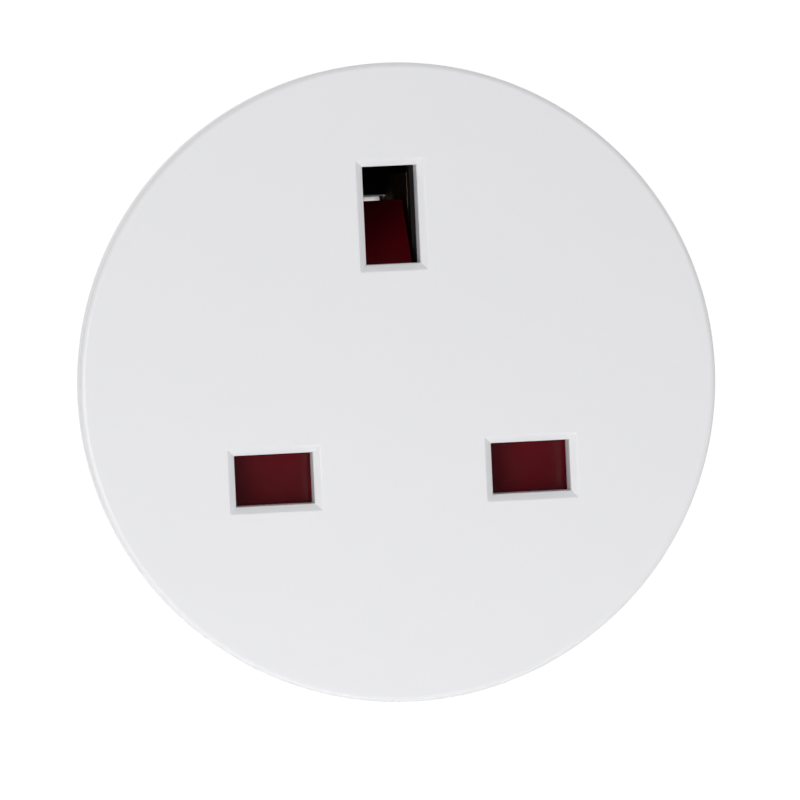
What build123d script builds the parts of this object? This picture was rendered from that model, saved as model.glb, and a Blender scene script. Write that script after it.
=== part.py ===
from build123d import *
import os
from math import cos, radians, sin, tan

# Travel adapter: a shuttered socket with three flat slots on a round, side-earthed two-pin plug.
# Millimetres. The origin is the centre of the face that meets the wall socket, on the plug's axis.
# +X is to the right seen from the socket side, +Y goes into the wall and +Z is up.
# Every depth is counted from the socket face, which lies at y = -(body_depth + nose_length).

# Socket face and its slots
face_diameter = 55.0
face_thickness = 3.0
face_edge_radius = 0.5
line_offset = 11.11
line_drop = 7.81
earth_rise = 14.42
line_slot_width = 6.78
line_slot_height = 4.41
earth_slot_width = 4.69
earth_slot_height = 8.43
slot_chamfer = 0.6

# Cover behind the face
band_depth = 3.4
spigot_inset = 2.3
spigot_depth = 6.9
spigot_wall = 1.8
collar_wall = 1.2
collar_relief = 0.5
collar_depth = 4.2

# Housing
body_depth = 26.0
side_taper = 7.0
housing_wall = 2.2
shoulder_wall = 2.2
shoulder_radius = 3.5
parting_width = 0.5
parting_height = 0.4
grip_count = 4
grip_pitch = 3.6
grip_radius = 1.5
grip_sink = 0.8
bar_post_width = 5.0
bar_post_height = 2.6
bar_post_overlap = 1.6

# Plug nose
nose_diameter = 37.2
nose_length = 17.0
nose_wall = 2.4
nose_end_wall = 2.4
nose_root_radius = 1.2
nose_edge_radius = 1.0
guide_width = 5.6
guide_floor = 15.9
clip_recess_width = 9.0
clip_recess_room = 0.2

# Round pins
pin_diameter = 4.8
pin_spacing = 19.0
pin_length = 19.0
pin_base_diameter = 5.2
pin_tip_radius = 1.9
pin_flange_lead = 3.6
pin_flange_diameter = 7.2
pin_flange_thickness = 1.2
pin_neck_diameter = 3.4
pin_head_diameter = 4.8
pin_head_thickness = 0.7
tower_wall = 1.7

# Socket tube for a round earth pin
earth_hole_rise = 10.0
earth_bore = 4.9
earth_bore_length = 14.4
earth_tube_wall = 0.75
earth_tube_sink = 0.4
earth_tube_slit = 0.5
earth_tube_slit_length = 8.0
earth_tube_neck = 3.6
earth_tube_neck_length = 1.1
earth_tube_spigot = 3.0
earth_tower_wall = 1.1
earth_tower_lead = 4.0

# Contact clips, bars and the earth bracket, all bent from strip
clip_metal = 0.7
clip_root_gap = 4.3
clip_pinch_gap = 3.5
clip_mouth_gap = 5.3
clip_mouth_length = 3.0
clip_pinch_radius = 4.0
clip_bend_radius = 0.8
bend_radius = 1.2
line_clip_width = 6.0
line_clip_web_rise = 6.25
line_clip_mouth_depth = 10.2
earth_clip_mouth_depth = 11.2
earth_clip_low = 11.3
earth_clip_high = 18.0
earth_web_high = 16.0
bar_metal = 1.0
bar_width = 6.4
bar_centre = 10.3
bar_foot = 11.9
bar_run_drop = 4.0
bar_top = 3.4
bracket_metal = 0.8
bracket_rise = 0.1
bracket_width = 7.0
bracket_reach = 16.3
bracket_bow = 1.1
bracket_bow_radius = 9.0
bracket_hook = 1.4
bracket_hook_inset = 1.1

# Steel bands that back the leaves of the clips
band_metal = 0.4
band_width = 3.0
band_lead = 2.8
band_bend_radius = 0.4
earth_band_low = 9.95
earth_band_high = 17.0

# Rivets and screws
rivet_diameter = 1.8
rivet_head_diameter = 3.2
rivet_head_thickness = 0.6
rivet_tail_diameter = 2.4
rivet_tail_thickness = 0.5
earth_rivet_rise = 13.2
screw_inset = 6.2
screw_angles = (30.0, 150.0, 270.0)
screw_diameter = 2.5
screw_length = 10.0
screw_head_diameter = 4.4
screw_head_height = 1.7
screw_cross_width = 0.8
screw_cross_depth = 1.1
screw_cross_length = 2.6
screw_boss_wall = 1.15
screw_seat_wall = 3.1
screw_well_depth = 9.0
screw_well_diameter = 4.8
screw_column_wall = 0.9

# Contact carrier
carrier_depth = 7.0
carrier_thickness = 2.0
chamber_wall = 1.0
line_chamber_width = 8.4
line_chamber_height = 7.2
earth_chamber_width = 8.4
earth_chamber_low = 9.4
earth_chamber_high = 18.9
earth_chamber_back = 1.0
carrier_foot_width = 6.4
rail_width = 1.5
rail_height = 2.1
rail_top = 8.0

# Retainer over the round pins
retainer_half_width = 13.2
retainer_low = -3.1
retainer_high = 6.2
partition_inner = 4.0
partition_wall = 1.2
partition_rise = 3.8

# Shutter and its spring
shutter_depth = 4.5
shutter_thickness = 2.2
shutter_overlap = 0.7
shutter_skirt = 1.4
shutter_corner = 1.5
tongue_width = 4.3
tongue_back_length = 2.4
ramp_rise = 5.8
shoulder_half_width = 6.0
shoulder_top = -1.0
spring_slot_width = 4.0
spring_slot_top = -4.5
spring_seat_room = 0.6
spring_seat_thickness = 0.8
spring_seat_width = 5.2
spring_depth = 5.2
spring_diameter = 3.2
spring_wire = 0.45
spring_turns = 7.0
spring_nib_diameter = 1.4
spring_nib_length = 1.4

# Clearances
running_gap = 0.3
fit_gap = 0.1
seat_gap = 0.05
press_gap = 0.03

# Worked out from the sizes above
face_y = -(body_depth + nose_length)
nose_end = body_depth + nose_length
face_radius = face_diameter / 2
nose_radius = nose_diameter / 2
pin_offset = pin_spacing / 2
spigot_radius = face_radius - spigot_inset
screw_circle = face_radius - screw_inset
screw_seat_depth = body_depth - screw_well_depth
screw_boss_depth = screw_seat_depth - screw_seat_wall
screw_boss_radius = screw_diameter / 2 + screw_boss_wall
ledge_depth = carrier_depth + carrier_thickness
shoulder_inner = body_depth - shoulder_wall
earth_back_depth = shoulder_inner - fit_gap - earth_chamber_back
end_wall_inner = nose_end - nose_end_wall
pin_flange_depth = body_depth + pin_flange_lead
pin_shoulder = pin_flange_depth + pin_flange_thickness
clip_recess_floor = bracket_reach - bracket_metal / 2 - clip_recess_room
earth_tower_depth = body_depth + earth_tower_lead
partition_depth = body_depth - partition_rise
line_clip_web_depth = body_depth - line_clip_web_rise
earth_tube_radius = earth_bore / 2 + earth_tube_wall
bar_depth = line_clip_web_depth + (clip_metal + bar_metal) / 2
bar_pin_depth = pin_flange_depth - bar_metal / 2
bracket_back = body_depth - bracket_rise
bracket_depth = bracket_back - bracket_metal / 2
earth_clip_web_depth = bracket_depth - (clip_metal + bracket_metal) / 2
clip_mouth_reach = (clip_mouth_gap + clip_metal) / 2
clip_pinch_reach = (clip_pinch_gap + clip_metal) / 2
clip_root_reach = (clip_root_gap + clip_metal) / 2
line_slot_low = -line_drop - line_slot_height / 2
line_slot_high = -line_drop + line_slot_height / 2
earth_slot_low = earth_rise - earth_slot_height / 2
earth_slot_high = earth_rise + earth_slot_height / 2
shutter_travel = line_slot_height + shutter_overlap + running_gap
shutter_back = shutter_depth + shutter_thickness
ramp_low = earth_slot_low - running_gap
ramp_high = ramp_low + ramp_rise
ramp_depth = shutter_depth + ramp_rise
tongue_back_low = ramp_low - tongue_back_length
guide_half_width = tongue_width / 2 + running_gap
spring_seat = screw_boss_radius + spring_seat_room + spring_seat_thickness - screw_circle
slots = (
    (line_offset, -line_drop, line_slot_width, line_slot_height),
    (-line_offset, -line_drop, line_slot_width, line_slot_height),
    (0.0, earth_rise, earth_slot_width, earth_slot_height),
)
screws = [
    (screw_circle * cos(radians(angle)), screw_circle * sin(radians(angle)))
    for angle in screw_angles
]
sides = (("live", 1), ("neutral", -1))


def side_radius(depth):
    """Outer radius of the tapered housing at a depth behind the face."""
    return face_radius - fit_gap - (depth - band_depth) * tan(radians(side_taper))


def face_plane(depth):
    """Drawing plane parallel to the face, with its x to the right and its y up."""
    return Plane(origin=(0, face_y + depth, 0), x_dir=(1, 0, 0), z_dir=(0, -1, 0))


def slab(sketch, near, far):
    """Sketch on the face plane, made solid from one depth to a deeper one."""
    return extrude(face_plane(near) * sketch, amount=far - near, dir=(0, 1, 0))


def block(left, right, near, far, low, high):
    """Rectangular block between two places across, two depths and two heights."""
    centre = ((left + right) / 2, face_y + (near + far) / 2, (low + high) / 2)
    return Pos(*centre) * Box(right - left, far - near, high - low)


def peg(radius, near, far, across=0.0, up=0.0):
    """Plain round post or hole along the depth."""
    return slab(Pos(across, up) * Circle(radius), near, far)


def outline(corners):
    """Closed face through (across, up, corner radius) corners."""
    points = [(across, up) for across, up, radius in corners]
    radii = [radius for across, up, radius in corners]
    return make_face(FilletPolyline(*points, radius=radii, close=True))


def turned(corners, across=0.0, up=0.0):
    """Solid turned about an axis along +Y, from (radius, depth, corner radius) corners."""
    profile = outline([(radius, face_y + depth, rounding) for radius, depth, rounding in corners])
    return Pos(across, 0, up) * revolve(profile, axis=Axis.Y)


def strip(points, radii, metal):
    """Edge view of a metal strip that is bent along a path."""
    return trace(FilletPolyline(*points, radius=radii), line_width=metal)


def cover_blank():
    """Turned form of the cover: face plate, straight band and locating spigot."""
    return turned([
        (0, 0, 0),
        (face_radius, 0, face_edge_radius),
        (face_radius, band_depth, 0),
        (spigot_radius, band_depth, 0),
        (spigot_radius, spigot_depth, 0),
        (spigot_radius - spigot_wall, spigot_depth, 0),
        (spigot_radius - spigot_wall, face_thickness, 0),
        (0, face_thickness, 0),
    ])


def slot_cut(across, up, width, height):
    """Rectangular slot, chamfered at the face and wider inside its collar."""
    place = Pos(across, up)
    hole = slab(place * Rectangle(width, height), 0, face_thickness)
    relief = Rectangle(width + 2 * collar_relief, height + 2 * collar_relief)
    hole += slab(place * relief, face_thickness, collar_depth)
    mouth = face_plane(0) * place * Rectangle(width + 2 * slot_chamfer, height + 2 * slot_chamfer)
    throat = face_plane(slot_chamfer) * place * Rectangle(width, height)
    return hole + loft([mouth.face(), throat.face()])


def front_cover():
    """Round face with a collar behind each slot and a boss for each screw."""
    cover = cover_blank()
    for across, up, width, height in slots:
        growth = 2 * (collar_relief + collar_wall)
        collar = Rectangle(width + growth, height + growth)
        cover += slab(Pos(across, up) * collar, face_thickness, collar_depth)
    for across, up in screws:
        cover += peg(screw_boss_radius, face_thickness, screw_boss_depth, across, up)
    for slot in slots:
        cover -= slot_cut(*slot)
    pilot_end = screw_seat_depth - screw_length - running_gap
    for across, up in screws:
        cover -= peg(screw_diameter / 2 + press_gap, pilot_end, screw_boss_depth, across, up)
    return cover


def housing_outside():
    """Solid outer form of the housing: tapered body, shoulder and round plug nose."""
    groove_end = band_depth + parting_height
    return turned([
        (0, band_depth, 0),
        (side_radius(groove_end) - parting_width, band_depth, 0),
        (side_radius(groove_end) - parting_width, groove_end, 0),
        (side_radius(groove_end), groove_end, 0),
        (side_radius(body_depth), body_depth, shoulder_radius),
        (nose_radius, body_depth, nose_root_radius),
        (nose_radius, nose_end, nose_edge_radius),
        (0, nose_end, 0),
    ])


def housing_inside():
    """Hollow of the tapered body, with the ledge that the contact carrier sits on."""
    return turned([
        (0, band_depth, 0),
        (spigot_radius + fit_gap, band_depth, 0),
        (spigot_radius + fit_gap, ledge_depth, 0),
        (side_radius(ledge_depth) - housing_wall, ledge_depth, 0),
        (side_radius(shoulder_inner) - housing_wall, shoulder_inner, 0),
        (0, shoulder_inner, 0),
    ])


def nose_inside():
    """Hollow of the plug nose: narrower at its flats and grooves, with room for the earth tube."""
    hollow = Circle(nose_radius - nose_wall)
    hollow &= Rectangle(nose_diameter, 2 * (clip_recess_floor - nose_wall))
    for side in (-1, 1):
        middle = side * (guide_floor - nose_wall + nose_radius / 2)
        hollow -= Pos(middle, 0) * Rectangle(nose_radius, guide_width + 2 * nose_wall)
    hollow += Pos(0, earth_hole_rise) * Circle(earth_tube_radius + running_gap)
    return slab(hollow, shoulder_inner, end_wall_inner)


def housing_posts():
    """Towers for the pins and the earth tube, posts under the bars and screw columns."""
    posts = peg(earth_tube_radius + fit_gap + earth_tower_wall, earth_tower_depth, end_wall_inner,
                0, earth_hole_rise)
    for name, side in sides:
        tower_radius = pin_base_diameter / 2 + tower_wall
        posts += peg(tower_radius, pin_shoulder, end_wall_inner, side * pin_offset)
        middle = side * (bar_centre - (bar_width - bar_post_width) / 2)
        post_high = -bar_foot + bar_post_overlap
        posts += block(middle - bar_post_width / 2, middle + bar_post_width / 2,
                       bar_depth + bar_metal / 2, end_wall_inner,
                       post_high - bar_post_height, post_high)
    column_radius = screw_well_diameter / 2 + screw_column_wall
    for across, up in screws:
        posts += peg(column_radius, screw_boss_depth + fit_gap, shoulder_inner, across, up)
    return posts


def nose_cuts():
    """Guide grooves, earth clip recesses and the slots that let the earth bracket through."""
    cuts = Part()
    slot_half_width = bracket_width / 2 + fit_gap
    slot_high = bracket_reach + bracket_metal
    slot_end = bracket_depth + bend_radius
    pocket_depth = nose_end - bracket_hook_inset - bracket_metal - bend_radius
    pocket_low = bracket_reach - bracket_hook - running_gap
    for side in (-1, 1):
        groove = sorted((side * guide_floor, side * face_radius))
        cuts += block(*groove, body_depth, nose_end, -guide_width / 2, guide_width / 2)
        recess = sorted((side * clip_recess_floor, side * face_radius))
        cuts += block(-clip_recess_width / 2, clip_recess_width / 2, body_depth, nose_end, *recess)
        slot = sorted((side * (clip_recess_floor - nose_wall), side * slot_high))
        cuts += block(-slot_half_width, slot_half_width, shoulder_inner, slot_end, *slot)
        pocket = sorted((side * pocket_low, side * clip_recess_floor))
        cuts += block(-slot_half_width, slot_half_width, pocket_depth, nose_end, *pocket)
    tail_room = rivet_tail_diameter / 2 + running_gap
    cuts += block(-tail_room, tail_room, body_depth, bracket_back + rivet_tail_thickness + running_gap,
                  earth_rivet_rise - tail_room, earth_rivet_rise + tail_room)
    return cuts


def housing_holes():
    """Holes for the round pins, the earth tube and the screws with their deep wells."""
    holes = peg(earth_tube_radius + fit_gap, earth_tower_depth, nose_end, 0, earth_hole_rise)
    for name, side in sides:
        holes += peg(pin_base_diameter / 2 + press_gap, pin_shoulder, nose_end, side * pin_offset)
    for across, up in screws:
        holes += peg(screw_diameter / 2 + fit_gap, screw_boss_depth, screw_seat_depth, across, up)
        holes += peg(screw_well_diameter / 2, screw_seat_depth, body_depth, across, up)
    return holes


def grip_grooves():
    """Scallops across both sides of the housing, for finger and thumb."""
    grooves = Part()
    for name, side in sides:
        for index in range(grip_count):
            depth = body_depth / 2 + (index - (grip_count - 1) / 2) * grip_pitch
            across = side * (side_radius(depth) + grip_radius - grip_sink)
            grooves += Pos(across, face_y + depth, 0) * Cylinder(grip_radius, face_radius)
    return grooves


def rear_housing():
    """Housing and plug nose in one moulding."""
    outside = housing_outside()
    housing = outside - housing_inside() - nose_inside()
    housing += housing_posts() & outside
    return housing - nose_cuts() - housing_holes() - grip_grooves()


def carrier_plate():
    """Round plate with notches round the screw bosses and windows for the pins and the ramp."""
    plate = Circle(spigot_radius)
    notch = screw_boss_radius + running_gap
    for angle in screw_angles:
        plate -= Rot(0, 0, angle) * Pos(screw_circle + face_radius / 2, 0) * SlotOverall(
            face_radius + 2 * notch, 2 * notch)
    for across, up, width, height in slots[:2]:
        plate -= Pos(across, up) * Rectangle(width, height)
    ramp_room = tongue_back_low - shutter_travel - running_gap
    plate -= Pos(0, (ramp_room + earth_slot_high) / 2) * Rectangle(
        2 * guide_half_width, earth_slot_high - ramp_room)
    return slab(plate, carrier_depth, ledge_depth)


def chamber(across, up, width, height, far):
    """Open-backed box that stands behind the carrier plate and keeps one clip in place."""
    walls = Rectangle(width + 2 * chamber_wall, height + 2 * chamber_wall) - Rectangle(width, height)
    return slab(Pos(across, up) * walls, ledge_depth, far)


def spring_nib(near_up, far_up):
    """Short round nib that the end of the spring sits over."""
    middle = (near_up + far_up) / 2
    nib = Cylinder(spring_nib_diameter / 2, abs(far_up - near_up))
    return Pos(0, face_y + spring_depth, middle) * nib


def contact_carrier():
    """Plate that the shutter runs on, with the clip chambers, guide rails and spring seat."""
    carrier = carrier_plate()
    line_end = bar_depth - bar_metal / 2 - seat_gap
    for name, side in sides:
        carrier += chamber(side * line_offset, -line_drop, line_chamber_width, line_chamber_height,
                           line_end)
    earth_middle = (earth_chamber_low + earth_chamber_high) / 2
    earth_height = earth_chamber_high - earth_chamber_low
    carrier += chamber(0, earth_middle, earth_chamber_width, earth_height,
                       shoulder_inner - fit_gap)
    carrier += block(-earth_chamber_width / 2, earth_chamber_width / 2,
                     earth_back_depth, shoulder_inner - fit_gap,
                     earth_web_high + fit_gap, earth_chamber_high)
    carrier += block(-carrier_foot_width / 2, carrier_foot_width / 2, shoulder_inner - fit_gap,
                     bracket_depth - bracket_metal / 2 - seat_gap,
                     earth_chamber_low - chamber_wall, earth_chamber_low)
    carrier -= block(-guide_half_width, guide_half_width, ledge_depth, ramp_depth + running_gap,
                     earth_chamber_low - chamber_wall, earth_chamber_low)
    for name, side in sides:
        rail = sorted((side * guide_half_width, side * (guide_half_width + rail_width)))
        carrier += block(*rail, carrier_depth - rail_height, carrier_depth,
                         shoulder_top + running_gap, rail_top)
    seat_near = spring_depth - spring_diameter / 2
    carrier += block(-spring_seat_width / 2, spring_seat_width / 2, seat_near, carrier_depth,
                     spring_seat - spring_seat_thickness, spring_seat)
    return carrier + spring_nib(spring_seat, spring_seat + spring_nib_length)


def shutter_plate():
    """Front view of the shutter: two wings, a shoulder, the tongue and the slot for the spring."""
    wing = line_offset + line_slot_width / 2 + shutter_overlap
    wing_high = line_slot_high + shutter_overlap
    wing_low = line_slot_low - shutter_skirt
    plate = outline([
        (-wing, wing_low, shutter_corner),
        (wing, wing_low, shutter_corner),
        (wing, wing_high, 0),
        (shoulder_half_width, wing_high, shutter_corner / 2),
        (shoulder_half_width, shoulder_top, shutter_corner),
        (tongue_width / 2, shoulder_top, 0),
        (tongue_width / 2, ramp_low, 0),
        (-tongue_width / 2, ramp_low, 0),
        (-tongue_width / 2, shoulder_top, 0),
        (-shoulder_half_width, shoulder_top, shutter_corner),
        (-shoulder_half_width, wing_high, shutter_corner / 2),
        (-wing, wing_high, 0),
    ])
    slot_height = spring_slot_top - wing_low
    return plate - Pos(0, wing_low + slot_height / 2) * Rectangle(spring_slot_width, slot_height)


def ramp_profile():
    """Side view of the sloped head that the earth pin pushes, as (y, z) corners."""
    return outline([
        (face_y + shutter_depth, ramp_low, 0),
        (face_y + ramp_depth, ramp_high, 0),
        (face_y + ramp_depth, tongue_back_low, 0),
        (face_y + shutter_depth, tongue_back_low, 0),
    ])


def shutter():
    """Sliding shutter that covers both line slots until the earth pin pushes it down."""
    body = slab(shutter_plate(), shutter_depth, shutter_back)
    body += extrude(Plane.YZ * ramp_profile(), amount=tongue_width / 2, both=True)
    return body + spring_nib(spring_slot_top, spring_slot_top - spring_nib_length)


def shutter_spring():
    """Compression spring between its seat and the top of the slot in the shutter."""
    radius = (spring_diameter - spring_wire) / 2
    low = spring_seat + spring_wire / 2 + seat_gap
    height = spring_slot_top - spring_wire / 2 - seat_gap - low
    coil = Helix(height / spring_turns, height, radius, center=(0, face_y + spring_depth, low))
    section = Plane(origin=coil @ 0, z_dir=coil % 0) * Circle(spring_wire / 2)
    return sweep(section, path=coil, is_frenet=True)


def clip_strip(mouth_depth, web_depth, plane):
    """Edge view of a two-leaf clip: flared mouth, pinch and a square web."""
    mouth = face_y + mouth_depth
    pinch = mouth + clip_mouth_length
    web = face_y + web_depth
    leaf = [(mouth, clip_mouth_reach), (pinch, clip_pinch_reach), (web, clip_root_reach)]
    path = leaf + [(along, -reach) for along, reach in reversed(leaf)]
    radii = [clip_pinch_radius, clip_bend_radius, clip_bend_radius, clip_pinch_radius]
    return plane * strip(path, radii, clip_metal)


def line_clip(side):
    """Clip that grips a live or neutral pin from above and below."""
    edge = clip_strip(line_clip_mouth_depth, line_clip_web_depth, Plane.YZ)
    clip = Pos(side * line_offset, 0, -line_drop) * extrude(edge, amount=line_clip_width / 2, both=True)
    return clip - peg(rivet_diameter / 2 + press_gap, line_clip_web_depth - clip_metal,
                      line_clip_web_depth + clip_metal, side * line_offset, -line_drop)


def earth_clip():
    """Clip that grips the earth pin from both sides, with leaves taller than its web."""
    upright = Plane(origin=(0, 0, earth_clip_low), x_dir=(0, 1, 0), z_dir=(0, 0, 1))
    edge = clip_strip(earth_clip_mouth_depth, earth_clip_web_depth, upright)
    clip = extrude(edge, amount=earth_clip_high - earth_clip_low)
    clip -= block(-clip_mouth_reach, clip_mouth_reach, earth_back_depth - running_gap,
                  body_depth, earth_web_high, earth_clip_high)
    return clip - peg(rivet_diameter / 2 + press_gap, earth_clip_web_depth - clip_metal,
                      earth_clip_web_depth + clip_metal, 0, earth_rivet_rise)


def band_reach(mouth_depth, web_depth):
    """Distance from a clip's middle to the middle of the band that backs its leaf."""
    leaf_length = web_depth - mouth_depth - clip_mouth_length
    share = (band_lead + band_width - clip_mouth_length) / leaf_length
    leaf = clip_pinch_reach + share * (clip_root_reach - clip_pinch_reach)
    return leaf + (clip_metal + band_metal) / 2 + seat_gap


def line_band(side):
    """Steel band round the back of a line clip's leaves, closed on its outer edge."""
    reach = band_reach(line_clip_mouth_depth, line_clip_web_depth)
    start = side * (line_offset - line_clip_width / 2)
    closed = side * (line_offset + (line_clip_width + band_metal) / 2 + fit_gap)
    path = [(start, reach), (closed, reach), (closed, -reach), (start, -reach)]
    edge = Pos(0, -line_drop) * strip(path, [band_bend_radius, band_bend_radius], band_metal)
    near = line_clip_mouth_depth + band_lead
    return slab(edge, near, near + band_width)


def earth_band():
    """Steel band round the earth clip's leaves, closed under the pin."""
    reach = band_reach(earth_clip_mouth_depth, earth_clip_web_depth)
    path = [(-reach, earth_band_high), (-reach, earth_band_low), (reach, earth_band_low),
            (reach, earth_band_high)]
    edge = strip(path, [band_bend_radius, band_bend_radius], band_metal)
    near = earth_clip_mouth_depth + band_lead
    return slab(edge, near, near + band_width)


def line_bar(side):
    """Cranked bar that joins a clip to its round pin."""
    path = [
        (face_y + bar_depth, -bar_foot),
        (face_y + bar_depth, -bar_run_drop),
        (face_y + bar_pin_depth, -bar_run_drop),
        (face_y + bar_pin_depth, bar_top),
    ]
    edge = Plane.YZ * strip(path, [bend_radius, bend_radius], bar_metal)
    bar = Pos(side * bar_centre, 0, 0) * extrude(edge, amount=bar_width / 2, both=True)
    bar -= peg(rivet_diameter / 2 + press_gap, bar_depth - bar_metal, bar_depth + bar_metal,
               side * line_offset, -line_drop)
    return bar - peg(pin_neck_diameter / 2 + press_gap, bar_pin_depth - bar_metal,
                     bar_pin_depth + bar_metal, side * pin_offset, 0)


def round_pin(side):
    """Solid plug pin, thicker in the nose, with a flange, a neck and a peened head."""
    head_front = pin_flange_depth - bar_metal - pin_head_thickness
    return turned([
        (0, head_front, 0),
        (pin_head_diameter / 2, head_front, pin_head_thickness / 2),
        (pin_head_diameter / 2, pin_flange_depth - bar_metal, 0),
        (pin_neck_diameter / 2, pin_flange_depth - bar_metal, 0),
        (pin_neck_diameter / 2, pin_flange_depth, 0),
        (pin_flange_diameter / 2, pin_flange_depth, 0),
        (pin_flange_diameter / 2, pin_shoulder, 0),
        (pin_base_diameter / 2, pin_shoulder, 0),
        (pin_base_diameter / 2, nose_end, 0),
        (pin_diameter / 2, nose_end, 0),
        (pin_diameter / 2, nose_end + pin_length, pin_tip_radius),
        (0, nose_end + pin_length, 0),
    ], side * pin_offset)


def earth_bracket():
    """One strip that crosses the housing and comes out as both side earth clips of the nose."""
    hook_depth = nose_end - bracket_hook_inset - bracket_metal / 2
    straight = bracket_depth + 2 * bend_radius
    bow_middle = (straight + hook_depth) / 2
    upper = [
        (face_y + hook_depth, bracket_reach - bracket_hook),
        (face_y + hook_depth, bracket_reach),
        (face_y + bow_middle, bracket_reach + bracket_bow),
        (face_y + straight, bracket_reach),
        (face_y + bracket_depth, bracket_reach),
    ]
    path = upper + [(along, -up) for along, up in reversed(upper)]
    radii = [bend_radius, bracket_bow_radius, bracket_bow_radius, bend_radius]
    edge = Plane.YZ * strip(path, radii + radii[::-1], bracket_metal)
    bracket = extrude(edge, amount=bracket_width / 2, both=True)
    for radius, up in ((rivet_diameter / 2, earth_rivet_rise), (earth_tube_spigot / 2, earth_hole_rise)):
        bracket -= peg(radius + press_gap, bracket_depth - bracket_metal, bracket_depth + bracket_metal,
                       0, up)
    return bracket


def earth_tube():
    """Turned and slit socket that takes a round earth pin, spigoted into the bracket."""
    neck_end = bracket_back + earth_tube_neck_length
    mouth = nose_end - earth_tube_sink
    tube = turned([
        (0, bracket_depth - bracket_metal / 2, 0),
        (earth_tube_spigot / 2, bracket_depth - bracket_metal / 2, 0),
        (earth_tube_spigot / 2, bracket_back, 0),
        (earth_tube_neck / 2, bracket_back, 0),
        (earth_tube_neck / 2, neck_end, 0),
        (earth_tube_radius, neck_end, 0),
        (earth_tube_radius, mouth, 0),
        (earth_bore / 2, mouth, 0),
        (earth_bore / 2, mouth - earth_bore_length, 0),
        (0, mouth - earth_bore_length, 0),
    ], 0, earth_hole_rise)
    half_slit = earth_tube_slit / 2
    return tube - block(-nose_radius, nose_radius, mouth - earth_tube_slit_length, mouth,
                        earth_hole_rise - half_slit, earth_hole_rise + half_slit)


def rivet(web_front, back, across, up):
    """Rivet with its head inside a clip and its tail closed behind the metal under it."""
    return turned([
        (0, web_front - rivet_head_thickness, 0),
        (rivet_head_diameter / 2, web_front - rivet_head_thickness, rivet_head_thickness / 2),
        (rivet_head_diameter / 2, web_front, 0),
        (rivet_diameter / 2, web_front, 0),
        (rivet_diameter / 2, back, 0),
        (rivet_tail_diameter / 2, back, 0),
        (rivet_tail_diameter / 2, back + rivet_tail_thickness, rivet_tail_thickness / 2),
        (0, back + rivet_tail_thickness, 0),
    ], across, up)


def clip_rivets():
    """The three rivets that hold the clips to the bars and the bracket."""
    rivets = rivet(earth_clip_web_depth - clip_metal / 2, bracket_back, 0, earth_rivet_rise)
    for name, side in sides:
        rivets += rivet(line_clip_web_depth - clip_metal / 2, bar_depth + bar_metal / 2,
                        side * line_offset, -line_drop)
    return rivets


def cover_screw(across, up):
    """Self-tapping screw with a cross recess, driven from behind into a boss of the cover."""
    tip = screw_seat_depth - screw_length
    head_end = screw_seat_depth + screw_head_height
    screw = turned([
        (0, tip, 0),
        (screw_diameter / 4, tip, 0),
        (screw_diameter / 2, tip + screw_diameter / 2, 0),
        (screw_diameter / 2, screw_seat_depth, 0),
        (screw_head_diameter / 2, screw_seat_depth, 0),
        (screw_head_diameter / 2, head_end, screw_head_height / 2),
        (0, head_end, 0),
    ], across, up)
    cross = Rectangle(screw_cross_length, screw_cross_width) + Rectangle(
        screw_cross_width, screw_cross_length)
    return screw - slab(Pos(across, up) * cross, head_end - screw_cross_depth, head_end)


def cover_screws():
    """The three screws that hold the housing and the cover together."""
    group = Part()
    for across, up in screws:
        group += cover_screw(across, up)
    return group


def pin_retainer():
    """Insulating plate over the pin heads, with a wall each side of the earth bracket."""
    retainer = block(-retainer_half_width, retainer_half_width, bracket_back + seat_gap,
                     pin_flange_depth - bar_metal - seat_gap, retainer_low, retainer_high)
    for name, side in sides:
        wall = sorted((side * partition_inner, side * (partition_inner + partition_wall)))
        retainer += block(*wall, partition_depth, bracket_back + seat_gap,
                          retainer_low, retainer_high)
        retainer -= peg(pin_head_diameter / 2 + running_gap, bracket_back, pin_flange_depth,
                        side * pin_offset)
    return retainer


def sub_parts():
    """Every separate piece of the adapter, by name."""
    parts = {
        "front_cover": front_cover(),
        "rear_housing": rear_housing(),
        "contact_carrier": contact_carrier(),
        "pin_retainer": pin_retainer(),
        "shutter": shutter(),
        "shutter_spring": shutter_spring(),
        "earth_clip": earth_clip(),
        "earth_band": earth_band(),
        "earth_bracket": earth_bracket(),
        "earth_tube": earth_tube(),
        "clip_rivets": clip_rivets(),
        "cover_screws": cover_screws(),
    }
    for name, side in sides:
        parts[name + "_pin"] = round_pin(side)
        parts[name + "_bar"] = line_bar(side)
        parts[name + "_clip"] = line_clip(side)
        parts[name + "_band"] = line_band(side)
    return parts


os.makedirs("parts", exist_ok=True)
for node, shape in sub_parts().items():
    export_step(shape, "parts/" + node + ".step")
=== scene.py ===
"""Dresses the travel adapter: moulded face and housing, plated pins, shutter, contacts and screws."""

import logging
from collections.abc import Sequence
from dataclasses import dataclass
from enum import Enum
from math import atan2, ceil, cos, pi, radians, sin, tan

import bmesh
import bpy
from mathutils import Matrix, Vector


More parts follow.
